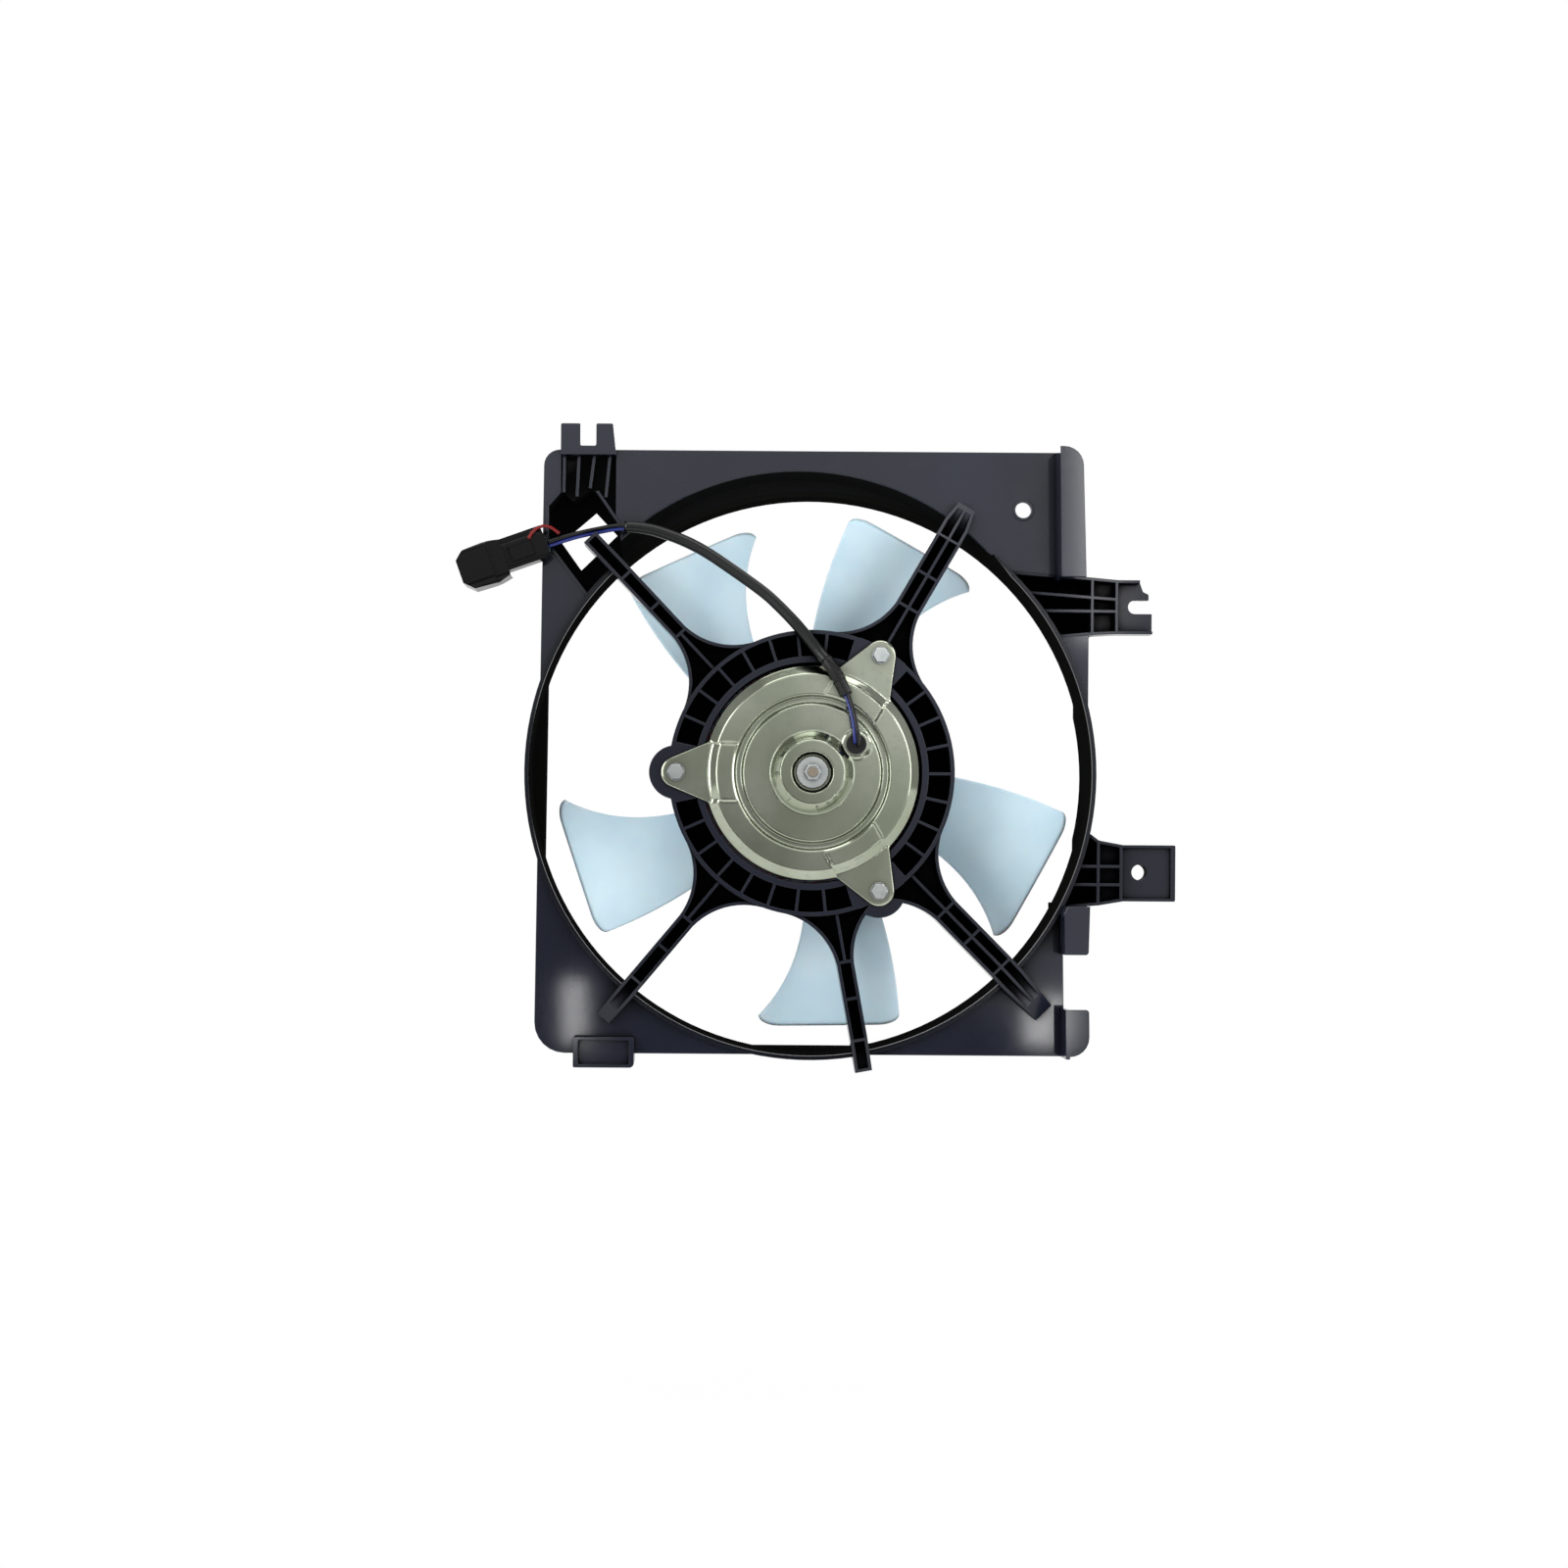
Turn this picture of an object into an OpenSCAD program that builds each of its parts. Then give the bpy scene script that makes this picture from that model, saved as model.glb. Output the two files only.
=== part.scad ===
// Radiator cooling fan: box shroud with a ring duct, a five-arm motor carrier,
// a flat direct-current motor, a five-blade fan and a two-wire lead with its plug.
//
// Every piece is drawn lying on its radiator side: x runs right and y runs up, as seen
// from the engine, and z is the rise towards the engine. upright() then stands it up,
// so the fan axis is the world's Y axis and the radiator face is the plane y = 0.

/* [Shroud box] */
// Height of the box above the fan axis
box_top = 202; // [198:1:206]
// Depth of the box below the fan axis
box_bottom = 175; // [172:0.5:177]
// Left edge at the top, measured from the fan axis
box_left_top = 167.3; // [164:0.1:170]
// Left edge at the bottom, measured from the fan axis
box_left_bottom = 171.3; // [168:0.1:173]
// Right edge at the top, measured from the fan axis
box_right_top = 154; // [150:0.5:156]
// Right edge at the bottom, measured from the fan axis
box_right_bottom = 160; // [157:0.5:162]
// Rise of the box's engine face above the radiator face
box_rise = 40; // [36:0.5:42]
// Wall of the box
wall = 2.5; // [2:0.1:3]
// Radius of the upper left corner
upper_corner_r = 10; // [6:1:14]
// Radius of the lower left corner
lower_corner_r = 19; // [8:1:22]

/* [Ring duct] */
// Outside radius of the ring
ring_r = 178; // [176:0.5:180]
// Wall of the ring at its rim
ring_wall = 2.5; // [2:0.1:3]
// How far the ring closes in from its rim to its far end
ring_taper = 1; // [0.5:0.1:3]
// Height of the ring's rim above the box face
rim_h = 6; // [4:0.5:8]
// Rise of the ring's far end
ring_foot = 16; // [12:0.5:18]
// Depth of the crescent scoop over the ring
scoop_depth = 8; // [4:0.5:12]

/* [Side flange] */
// Height of the flange above the box face
flange_h = 22; // [16:0.5:24]
// Reach of the flange beyond the box wall at the top
flange_out_top = 11.6; // [8:0.1:14]
// Reach of the flange beyond the box wall at the bottom
flange_out_bottom = 12; // [8:0.1:14]
// How much further the flange reaches where it meets the stepped stretch
flange_flare = 1.2; // [0:0.1:2]

/* [Brackets] */
// How far the ears' face lies below the box face
ear_drop = 6; // [3:0.5:8]
// Thickness of an ear
ear_t = 4; // [3:0.5:6]
// Width of the U-slots in the upper ears
slot_w = 8.6; // [7:0.1:9.5]
// Radius of the hole in the lower ear
ear_hole_r = 4.9; // [4:0.1:6]
// Length of the hole in the lower ear
ear_hole_h = 10; // [8:0.5:12]
// How far the step of the box lies inside the ring's outside
step_in = 4.4; // [3:0.1:8]
// Reach of the upper bracket's rim beyond the ring
upper_reach = 14; // [10:0.5:16]
// Reach of the lower bracket's rim beyond the ring
lower_reach = 17.8; // [12:0.1:19]
// Radius of the hole in the box face
face_hole_r = 5; // [4:0.1:6]
// Thickness of a rib
rib_t = 1.8; // [1.5:0.1:2.2]
// Height of the fork over the box face
fork_h = 6; // [5:0.5:8]

/* [Motor carrier] */
// Outside radius of the carrier's hub
hub_r = 88; // [86:0.5:90]
// Bore of the carrier's hub
hub_bore_r = 68; // [67:0.5:70]
// Height of the carrier's engine side above the ring's rim
carrier_over_rim = 16; // [14:0.5:17]
// Height of the carrier's hub
hub_h = 18; // [16:0.5:18]
// Wall of the carrier's channels
arm_wall = 2; // [1.6:0.1:2.4]
// Floor of the carrier's channels
arm_floor = 2; // [1.6:0.1:2.5]
// Radius of the blend between an arm and the hub
arm_blend = 44; // [30:1:48]
// Radius of the circle of motor screws
screw_circle_r = 83.5; // [82.5:0.5:84.5]

/* [Motor] */
// Outside radius of the motor can
can_r = 56.5; // [55.5:0.5:57]
// Depth of the motor can below the end cover's sheet
can_h = 41.8; // [41:0.2:43]
// Outside radius of the end cover
cover_r = 66; // [65:0.5:66.5]
// Thickness of the motor's sheet metal
sheet = 1.6; // [1.2:0.1:1.8]
// Radius of the shaft
shaft_r = 4; // [3.5:0.1:4.3]
// Radial clearance of the shaft in its bushes
shaft_play = 0.04; // [0.02:0.01:0.08]
// Radius of the motor screws
screw_r = 2.5; // [2:0.1:2.8]
// Gap between the armature and the magnets
air_gap = 0.8; // [0.5:0.1:1.2]
// How far a brush can slide back into its tube
brush_travel = 3; // [2:0.5:3.5]

/* [Fan] */
// Outside radius of the fan's cup
cup_r = 80; // [78:0.5:81]
// Gap between the blade tips and the ring's wall
tip_gap = 7.5; // [5:0.5:10]
// Thickness of a blade
blade_t = 2; // [1.6:0.1:2.4]
// Angle that a blade's tip takes up
tip_angle = 32.3; // [30:0.1:35]
// Angle that a blade's root takes up
root_angle = 30.8; // [28:0.4:33]
// Rise between a blade's two edges
blade_rise = 20; // [16:0.5:22]

/* [Lead] */
// Diameter of each wire
wire_d = 2.4; // [2:0.1:2.5]
// Diameter of the sleeve over the wires
sleeve_d = 6.4; // [6.2:0.1:6.8]
// Width of the plug's body
plug_w = 16.6; // [15:0.1:17]
// Width of the plug's collar
collar_w = 27; // [24:0.5:28]

/* [Hidden] */
$fn = 72;
eps = 0.01;
touch = 0.3;         // gap between pieces that pass without touching
black = [0.10, 0.105, 0.115];
passivated = [0.66, 0.67, 0.58];
pale = [0.80, 0.88, 0.92];
steel = [0.62, 0.63, 0.65];
zinc = [0.78, 0.80, 0.83];
copper = [0.72, 0.42, 0.22];
brass = [0.78, 0.62, 0.30];

// Plane geometry

function unit(v) = v / norm(v);
function polar(r, a) = [r * cos(a), r * sin(a)];
function blend(a, b, t) = a + (b - a) * t;

// The arc of radius r that rounds corner b between a and c, as a short run of points
function corner(a, b, c, r, n = 6) =
    r == 0 ? [b] :
    let (u = unit(a - b), v = unit(c - b), half = acos(u * v) / 2,
         mid = b + unit(u + v) * r / sin(half),
         p = b + u * r / tan(half) - mid, q = b + v * r / tan(half) - mid,
         s = atan2(p[1], p[0]), e = atan2(q[1], q[0]),
         turn = e - s > 180 ? e - s - 360 : e - s < -180 ? e - s + 360 : e - s)
    [for (i = [0:n]) mid + polar(r, s + turn * i / n)];

// An outline of [x, y, corner radius] entries with its corners rounded
function rounded(p) = [
    for (i = [0:len(p) - 1])
        let (a = p[(i + len(p) - 1) % len(p)], b = p[i], c = p[(i + 1) % len(p)])
        each corner([a[0], a[1]], [b[0], b[1]], [c[0], c[1]], b[2])];

// A clockwise outline moved out by t
function grown(p, t) = [
    for (i = [0:len(p) - 1])
        let (u = unit(p[i] - p[(i + len(p) - 1) % len(p)]), v = unit(p[(i + 1) % len(p)] - p[i]),
             m = [-u[1], u[0]], n = [-v[1], v[0]])
        p[i] + (m + n) * t / (1 + m * n)];

module upright() rotate([90, 0, 0]) children();

// A flat shape that fills the rises between low and high
module slab(low, high) translate([0, 0, low]) linear_extrude(high - low) children();

// A rod along the rise, and a round tube
module rod(r, low, high) translate([0, 0, low]) cylinder(r = r, h = high - low);
module tube(r, bore, low, high) difference() {
    rod(r, low, high);
    rod(bore, low - 1, high + 1);
}

// A six-sided prism across its flats
module hex(flats, low, high)
    translate([0, 0, low]) cylinder(d = flats / cos(30), h = high - low, $fn = 6);

// A wall of thickness t from p to q
module rib(p, q, t, low, high)
    translate([p[0], p[1], low]) rotate([0, 0, atan2(q[1] - p[1], q[0] - p[0])])
        translate([0, -t / 2, 0]) cube([norm(q - p), t, high - low]);

// Levels above the radiator face

rim_rise = box_rise + rim_h;
flange_rise = box_rise + flange_h;
ear_rise = box_rise - ear_drop;
carrier_rise = rim_rise + carrier_over_rim;
hub_low = carrier_rise - hub_h;              // underside of the carrier's hub
tip_r = ring_r - ring_wall - tip_gap;        // radius that the blade tips reach

// Shroud box

step_top = 124;                              // where the box steps out, going down
step_bottom = -82;                           // where it steps in again
step_x = ring_r - step_in;                   // right edge of the stepped stretch
box_h = box_top + box_bottom;
function right_at(y) = blend(box_right_bottom, box_right_top, (y + box_bottom) / box_h);
function left_at(y) = -blend(box_left_bottom, box_left_top, (y + box_bottom) / box_h);

// The box's outline, taken in by t
function box_outline(t) = rounded([
    [left_at(box_top) + t, box_top - t, upper_corner_r - t],
    [right_at(box_top) - t, box_top - t, 0],
    [right_at(step_top) - t, step_top - t, 0],
    [step_x - t, step_top - t, 0],
    [step_x - t, step_bottom + t, 0],
    [right_at(step_bottom) - t, step_bottom + t, 0],
    [right_at(-box_bottom) - t, t - box_bottom, 0],
    [left_at(-box_bottom) + t, t - box_bottom, lower_corner_r - t]]);

// The box's plan taken in by t: on its right it bulges out round the ring
module box_plan(t) {
    polygon(box_outline(t));
    intersection() {
        circle(ring_r - t);
        translate([step_x - 2 * wall, step_bottom + 1]) square([30, step_top - step_bottom - 2]);
    }
}

// Deep recess at the end of the upper left arm, the window in its floor, and the
// shallow pocket between the recess and the fork
window_angle = 133.5;
recess_floor = 12;
recess_wall = 1.8;
recess_lip = 0.6;                            // height of its rim over the box face
recess_bite = 0.3;                           // its wall runs this far into the ring's
recess_span = [131.2, 141.5];                // angles between which it follows the ring
recess = concat(
    [[-160.2, 138.8], [-164.2, 144], [-164.2, 166.4], [-156, 175.8], [-149.2, 170.3],
     [-137.5, 177.7], [-134.5, 175.3], [-119.5, 153.5], [-119.2, 140]],
    [for (a = [recess_span[0]:2:recess_span[1]]) polar(ring_r + recess_wall - recess_bite, a)]);
window = [[-157.9, 147.8], [-135.8, 166.8], [-122.2, 152.4], [-145.1, 130]];
pocket_floor = 33;
pocket_top = box_top - 4.1;
pocket = [[-156.6, 173.5], [-156.6, pocket_top], [-122.3, pocket_top], [-122.3, 160.8],
          [-133, 176.3], [-137.5, 175.5], [-149.2, 168.6]];

// Crescent scoop above the ring, to the right of the upper left arm
scoop_at = [-7.3, 26];
scoop_r = 164;
scoop_slope = 5;

face_hole = [132.2, 166.1];
face_hole_rim = 1.6;
face_hole_lift = 0.5;

module right_of_arm() rotate([0, 0, window_angle]) translate([-300, -600, -1]) cube([600, 600, 100]);

module scoop_cut() intersection() {
    translate([scoop_at[0], scoop_at[1], 0]) {
        translate([0, 0, box_rise - scoop_depth])
            cylinder(r1 = scoop_r - scoop_slope, r2 = scoop_r, h = scoop_depth);
        rod(scoop_r, box_rise, rim_rise + 1);
    }
    right_of_arm();
}

// Footprints of the two side brackets between the ring and their outer rib
bracket_bite = 4;                            // the brackets start this far inside the ring
function ring_x(y) = sqrt(pow(ring_r - bracket_bite, 2) - y * y);
upper_bay_x = ring_r - 1.3;
upper_ear_x = ring_r + upper_reach;
upper_bay = [124.3, 88.4];                   // its upper and lower edges at the bay's rib
upper_foot = [[ring_x(128.5), 128.5], [upper_bay_x, upper_bay[0]], [upper_bay_x, upper_bay[1]],
              [right_at(upper_bay[1]), 86.7], [ring_x(84), 84]];
lower_bay_x = ring_r + 3.5;
lower_ear_x = ring_r + lower_reach;
lower_bay = [-39.9, -80.6];                  // its upper and lower edges at the bay's rib
lower_foot_outline = [[ring_x(-32.5), -32.5], [lower_bay_x, lower_bay[0]],
                      [lower_bay_x, lower_bay[1]], [right_at(step_bottom), -82.5],
                      [ring_x(-82.5), -82.5]];

module shroud_box() color(black) upright() difference() {
    union() {
        difference() {
            slab(0, box_rise) box_plan(0);
            slab(-1, box_rise - wall) box_plan(wall);
        }
        intersection() {
            slab(box_rise - scoop_depth - wall, box_rise - eps) polygon(box_outline(0));
            translate([scoop_at[0], scoop_at[1], 0]) rod(scoop_r + wall, 0, box_rise);
            right_of_arm();
        }
        slab(recess_floor, box_rise + recess_lip) polygon(grown(recess, recess_wall));
        slab(pocket_floor, box_rise - eps) polygon(grown(pocket, recess_wall));
        translate(face_hole)
            rod(face_hole_r + face_hole_rim, box_rise - wall, box_rise + face_hole_lift);
    }
    scoop_cut();
    rod(ring_r, ring_foot, box_rise + 2);
    slab(recess_floor + wall, box_rise + 1) polygon(recess);
    slab(recess_floor - 1, recess_floor + wall + 1) polygon(window);
    slab(pocket_floor + wall, box_rise + 1) polygon(pocket);
    translate(face_hole) rod(face_hole_r, -1, box_rise + 2);
    slab(ring_foot, box_rise + 2) polygon(upper_foot);
    slab(ring_foot, box_rise + 2) polygon(lower_foot_outline);
}

// Ring duct

ring_inner = ring_r - ring_wall;
far_inner = ring_inner - ring_taper;

module ring_duct() color(black) upright() difference() {
    union() {
        rotate_extrude() polygon([
            [far_inner, ring_foot], [ring_r, ring_foot], [ring_r, rim_rise],
            [ring_inner, rim_rise]]);
        // Shelf that closes the gap to the box where the ring bulges past it
        difference() {
            rod(ring_r, ring_foot, ring_foot + wall);
            slab(ring_foot - 1, ring_foot + wall + 1) box_plan(wall);
        }
    }
    scoop_cut();
}

// Side flange

flange_corner = 12;
notch_top = -110.8;
notch_bottom = -144.5;
flange_tip = -box_bottom + 1.5;

flange_lap = [2.2, 1];                       // how far it laps the stepped stretch, above and below
flange_top = [step_top - flange_lap[0], box_top];
flange_mid = [notch_top, step_bottom + flange_lap[1]];
flange_low = [-box_bottom, notch_bottom];

// The flange's face between two heights, with radii at its upper and lower outer corners
function flange_face(low, high, out_low, out_high, r_low, r_high) = rounded([
    [right_at(low) - wall, low, 0], [right_at(low) + out_low, low, r_low],
    [right_at(high) + out_high, high, r_high], [right_at(high) - wall, high, 0]]);

module side_flange() color(black) upright() difference() {
    union() {
        for (run = [flange_top, flange_mid, flange_low])
            slab(box_rise, flange_rise) polygon([
                [right_at(run[0]) - wall, run[0]], [right_at(run[0]), run[0]],
                [right_at(run[1]), run[1]], [right_at(run[1]) - wall, run[1]]]);
        slab(flange_rise - wall, flange_rise) {
            polygon(flange_face(flange_top[0], box_top, flange_out_top + flange_flare,
                                flange_out_top, 0, flange_corner));
            polygon(flange_face(notch_top, flange_mid[1], flange_out_bottom,
                                flange_out_bottom + flange_flare, 2, 0));
            polygon(flange_face(flange_tip, notch_bottom, flange_out_bottom, flange_out_bottom,
                                flange_corner, 2));
        }
    }
    rod(ring_r, box_rise - 1, flange_rise + 1);
}

// Upper left fork

fork_x = [-156.6, -144.4, -134.6, -124.2];   // edges of the two prongs
fork_tip = box_top + 15.2;
fork_slot = box_top + 1.4;
fork_foot = pocket_top + rib_t / 2;
fork_t = 4;
fork_rib_h = 1.5;                            // height of its ribs over the box face
fork_ribs = [[[-154.8, 175], [-154.6, pocket_top]], [[-146.6, 172.5], [-145.4, pocket_top]],
             [[-138.4, 177.6], [-135.9, pocket_top]], [[-128.6, 172], [-126.2, pocket_top]]];

module upper_left_fork() color(black) upright() {
    slab(box_rise + fork_h - fork_t, box_rise + fork_h) polygon(rounded([
        [fork_x[0], fork_foot, 0], [fork_x[0], fork_tip, 1], [fork_x[1], fork_tip, 1],
        [fork_x[1], fork_slot, 1], [fork_x[2], fork_slot, 1], [fork_x[2], fork_tip, 1],
        [fork_x[3], fork_tip, 1], [fork_x[3] + 2, fork_foot, 0]]));
    rib([fork_x[0], fork_foot], [fork_x[3] + 2, fork_foot], rib_t, box_rise, box_rise + fork_h);
    ribs(fork_ribs, pocket_floor + wall, box_rise + fork_rib_h);
}

// Side brackets

bay_floor = ear_rise - ear_t;

// Ribs given by their two ends
module ribs(list, low, high) slab(low, high) for (r = list)
    translate(r[0]) rotate(atan2(r[1][1] - r[0][1], r[1][0] - r[0][0]))
        translate([0, -rib_t / 2]) square([norm(r[1] - r[0]), rib_t]);

upper_slot = [upper_ear_x + 11.6, 106.7];
upper_tip = upper_ear_x + 22.2;
upper_ear = [
    [upper_ear_x - rib_t, 122.8, 0], [upper_ear_x - rib_t, 89.1, 0], [upper_tip, 89.1, 1.5],
    [upper_tip, 104.5, 0], [upper_tip - 2, 110.2, 0], [upper_tip - 2, 114.6, 1.5],
    [upper_tip - 5.6, 116.3, 1], [upper_tip - 7.9, 122.8, 1]];
upper_edges = [upper_ear[0][1] - rib_t / 2, upper_ear[1][1] + rib_t / 2];
upper_ribs = [[115.2, 111.8, 110.7], [103.4, 103.3, 103.2]];   // heights at ring, bay and ear
upper_rib_x = upper_bay_x - rib_t / 2;       // middle of the bay's own rib

module upper_right_bracket() color(black) upright() difference() {
    union() {
        slab(ring_foot, ring_foot + wall) polygon(upper_foot);
        slab(bay_floor, bay_floor + wall) polygon([
            [upper_bay_x, upper_bay[0]], [upper_ear_x, upper_ear[0][1]],
            [upper_ear_x, upper_ear[1][1]], [upper_bay_x, upper_bay[1]]]);
        ribs([[[ring_x(127.6), 127.6], [upper_rib_x, upper_bay[0] - rib_t / 2]],
              [[ring_x(84.9), 84.9], [right_at(upper_bay[1]), 87.6]],
              [[right_at(upper_bay[1]), 87.6], [upper_rib_x, upper_bay[1] + rib_t / 2]],
              for (h = upper_ribs) [[ring_x(h[0]), h[0]], [upper_rib_x, h[1]]],
              [[upper_rib_x, upper_bay[0]], [upper_rib_x, upper_bay[1]]]],
             ring_foot, box_rise);
        ribs([[[upper_rib_x, upper_bay[0] - rib_t / 2], [upper_ear_x, upper_edges[0]]],
              [[upper_rib_x, upper_bay[1] + rib_t / 2], [upper_ear_x, upper_edges[1]]],
              for (h = upper_ribs) [[upper_rib_x, h[1]], [upper_ear_x - rib_t / 2, h[2]]],
              [[upper_ear_x - rib_t / 2, upper_ear[0][1]], [upper_ear_x - rib_t / 2, upper_ear[1][1]]],
              [[upper_ear_x, upper_edges[0]], [upper_tip - 8.7, upper_edges[0]]],
              [[upper_ear_x, upper_edges[1]], [upper_tip - 0.8, upper_edges[1]]]],
             bay_floor, box_rise);
        slab(bay_floor, ear_rise) polygon(rounded(upper_ear));
    }
    rod(ring_r, 0, box_rise + 1);
    translate(upper_slot) {
        rod(slot_w / 2, 0, box_rise + 1);
        translate([0, -slot_w / 2, 0]) cube([30, slot_w, box_rise + 1]);
    }
}

lower_hole = [lower_ear_x + 11.7, -59.8];
lower_ear = [lower_ear_x, lower_ear_x + 33.9, -78, -42.7];   // left, right, bottom and top edges
lower_ribs = [-56.2, -67.6];
lower_rib_x = lower_bay_x - rib_t / 2;
lower_boss_r = 8;
lower_rim = 3;                               // width of the raised rim along its outer edge

module lower_right_bracket() color(black) upright() difference() {
    union() {
        slab(ring_foot, ring_foot + wall) polygon(lower_foot_outline);
        slab(bay_floor, bay_floor + wall) polygon([
            [lower_bay_x, lower_bay[0]], [lower_ear[0], lower_ear[3]],
            [lower_ear[0], lower_ear[2]], [lower_bay_x, lower_bay[1]]]);
        ribs([[[ring_x(-33.4), -33.4], [lower_rib_x, lower_bay[0] - rib_t / 2]],
              [[ring_x(-81.6), -81.6], [right_at(step_bottom), -81.6]],
              [[right_at(step_bottom), -81.6], [lower_rib_x, lower_bay[1] + rib_t / 2]],
              for (h = lower_ribs) [[ring_x(h), h], [lower_rib_x, h]],
              [[lower_rib_x, lower_bay[0]], [lower_rib_x, lower_bay[1]]]],
             ring_foot, box_rise);
        ribs([[[lower_rib_x, lower_bay[0] - rib_t / 2], [lower_ear[0], lower_ear[3] - rib_t / 2]],
              [[lower_rib_x, lower_bay[1] + rib_t / 2], [lower_ear[0], lower_ear[2] + rib_t / 2]],
              for (h = lower_ribs) [[lower_rib_x, h], [lower_ear[0] - rib_t / 2, h]],
              [[lower_ear[0] - rib_t / 2, lower_ear[3]], [lower_ear[0] - rib_t / 2, lower_ear[2]]]],
             bay_floor, box_rise);
        // Ear with a raised rim on three sides and a boss under its hole
        slab(bay_floor, ear_rise + ear_t / 2) polygon(rounded([
            [lower_ear[0] - rib_t, lower_ear[2], 0], [lower_ear[1], lower_ear[2], 1],
            [lower_ear[1], lower_ear[3], 1], [lower_ear[0] - rib_t, lower_ear[3], 0]]));
        translate(lower_hole) rod(lower_boss_r, ear_rise - ear_hole_h, ear_rise);
    }
    rod(ring_r, 0, box_rise + 1);
    slab(ear_rise, ear_rise + ear_t) polygon([
        [lower_ear[0], lower_ear[2] + rib_t], [lower_ear[1] - lower_rim, lower_ear[2] + rib_t],
        [lower_ear[1] - lower_rim, lower_ear[3] - rib_t], [lower_ear[0], lower_ear[3] - rib_t]]);
    translate(lower_hole) rod(ear_hole_r, 0, box_rise);
}

// Locating foot at the lower left

foot_x = [-146.5, -108.5];
foot_drop = 8.4;                              // how far it hangs below the box
foot_up = 10.6;                               // how far it laps the box face
foot_h = 7;
foot_low = 22;
foot_rim = 3.2;

module lower_foot() color(black) upright() difference() {
    union() {
        slab(box_rise, box_rise + foot_h) polygon(rounded([
            [foot_x[0], foot_up - box_bottom, 1], [foot_x[1], foot_up - box_bottom, 1],
            [foot_x[1], -box_bottom - foot_drop, 3], [foot_x[0], -box_bottom - foot_drop, 1]]));
        slab(foot_low, box_rise) polygon(rounded([
            [foot_x[0], -box_bottom, 0], [foot_x[1], -box_bottom, 0],
            [foot_x[1], -box_bottom - foot_drop, 3], [foot_x[0], -box_bottom - foot_drop, 1]]));
    }
    slab(box_rise + foot_h / 2, box_rise + foot_h + 1) polygon(rounded([
        [foot_x[0] + foot_rim, foot_up - box_bottom - rib_t, 1],
        [foot_x[1] - foot_rim, foot_up - box_bottom - rib_t, 1],
        [foot_x[1] - foot_rim, -box_bottom - foot_drop + rib_t, 1],
        [foot_x[0] + foot_rim, -box_bottom - foot_drop + rib_t, 1]]));
}

// Motor carrier: hub, five channel arms and three screw lobes

// Each arm: angle, end radius, half width, whether a rib runs down its middle,
// the rise of its engine side at its end, and its half width at its end
arms = [
    [window_angle, ring_r + 22, 5, false, 56, 5], [60, ring_r + 15, 8.2, true, 46, 6],
    [-45.2, ring_r + 30, 8.4, true, 44, 6.8], [-79.5, ring_r + 9.6, 5.3, false, 50, 5.3],
    [-129.9, ring_r + 21.8, 5.3, false, 43, 4.9]];
leg_reach = 10;                               // length of the leg that stands in the recess
leg_half = 4.6;
arm_ribs = [118, 141, 167];                   // radii of the arms' cross ribs
arm_slope_from = 166;
arm_dip = 2;                                  // arms lie this much below the hub
blend_bite = 0.1;                             // blends end this far inside hub and arm
hub_ledge = 0.4;                              // arm left standing outside the hub's wall
screw_angles = [180, 60, -60];
lobe_r = 16.5;
cell_in = 4;                                  // hub wall inside and outside its cells
cell_out = 2.5;
cell_step = 12;
insert_r = 4.2;
insert_h = 14;

// An arm's plan with its two blends into the hub, taken in by t. From the ring outwards
// it narrows to half width tip.
module arm_plan(end, half, tip, t) {
    run = sqrt(pow(hub_r + arm_blend, 2) - pow(half + arm_blend, 2));
    from = hub_bore_r + 6;
    polygon([[from, t - half], [ring_r, t - half], [end - t, t - tip], [end - t, tip - t],
             [ring_r, half - t], [from, half - t]]);
    for (side = [0, 1]) mirror([0, side]) difference() {
        polygon([[0, 0], [run, 0], [run, half + arm_blend]]);
        translate([run, half + arm_blend]) circle(arm_blend + t + blend_bite);
    }
}

module arm_body(a) rotate([0, 0, a[0]]) difference() {
    union() {
        slab(rim_rise, carrier_rise - arm_dip) arm_plan(a[1], a[2], a[5], 0);
        slab(a[0] == window_angle ? box_rise + recess_lip : box_rise, rim_rise + 1) difference() {
            arm_plan(a[1], a[2], a[5], 0);
            circle(ring_r);
        }
    }
    // The arm's end falls away towards the box face
    translate([arm_slope_from, -a[2] - 1, carrier_rise - arm_dip])
        rotate([0, atan2(carrier_rise - arm_dip - a[4], a[1] - arm_slope_from), 0])
            cube([80, 2 * a[2] + 2, 30]);
}

module arm_pocket(a) rotate([0, 0, a[0]]) difference() {
    slab(rim_rise + arm_floor, carrier_rise + 1) arm_plan(a[1], a[2], a[5], arm_wall);
    rod(hub_r + hub_ledge, 0, carrier_rise + 2);
    for (r = arm_ribs) translate([r - rib_t / 2, -40, 0]) cube([rib_t, 80, carrier_rise + 2]);
    translate([0, -rib_t / 2, 0])
        cube([a[3] ? a[1] : arm_ribs[0], rib_t, carrier_rise + 2]);
}

module hub_cells() for (k = [0:cell_step:359])
    if (min([for (s = screw_angles) abs((k + cell_step / 2 - s + 540) % 360 - 180)]) > cell_step)
        slab(hub_low + arm_floor, carrier_rise + 1) difference() {
            intersection() {
                circle(hub_r - cell_out);
                polygon([[0, 0], polar(2 * hub_r, k), polar(2 * hub_r, k + cell_step)]);
            }
            circle(hub_bore_r + cell_in);
            rotate([0, 0, k]) translate([0, -rib_t / 2]) square([2 * hub_r, rib_t]);
            rotate([0, 0, k + cell_step]) translate([0, -rib_t / 2]) square([2 * hub_r, rib_t]);
        }

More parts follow.
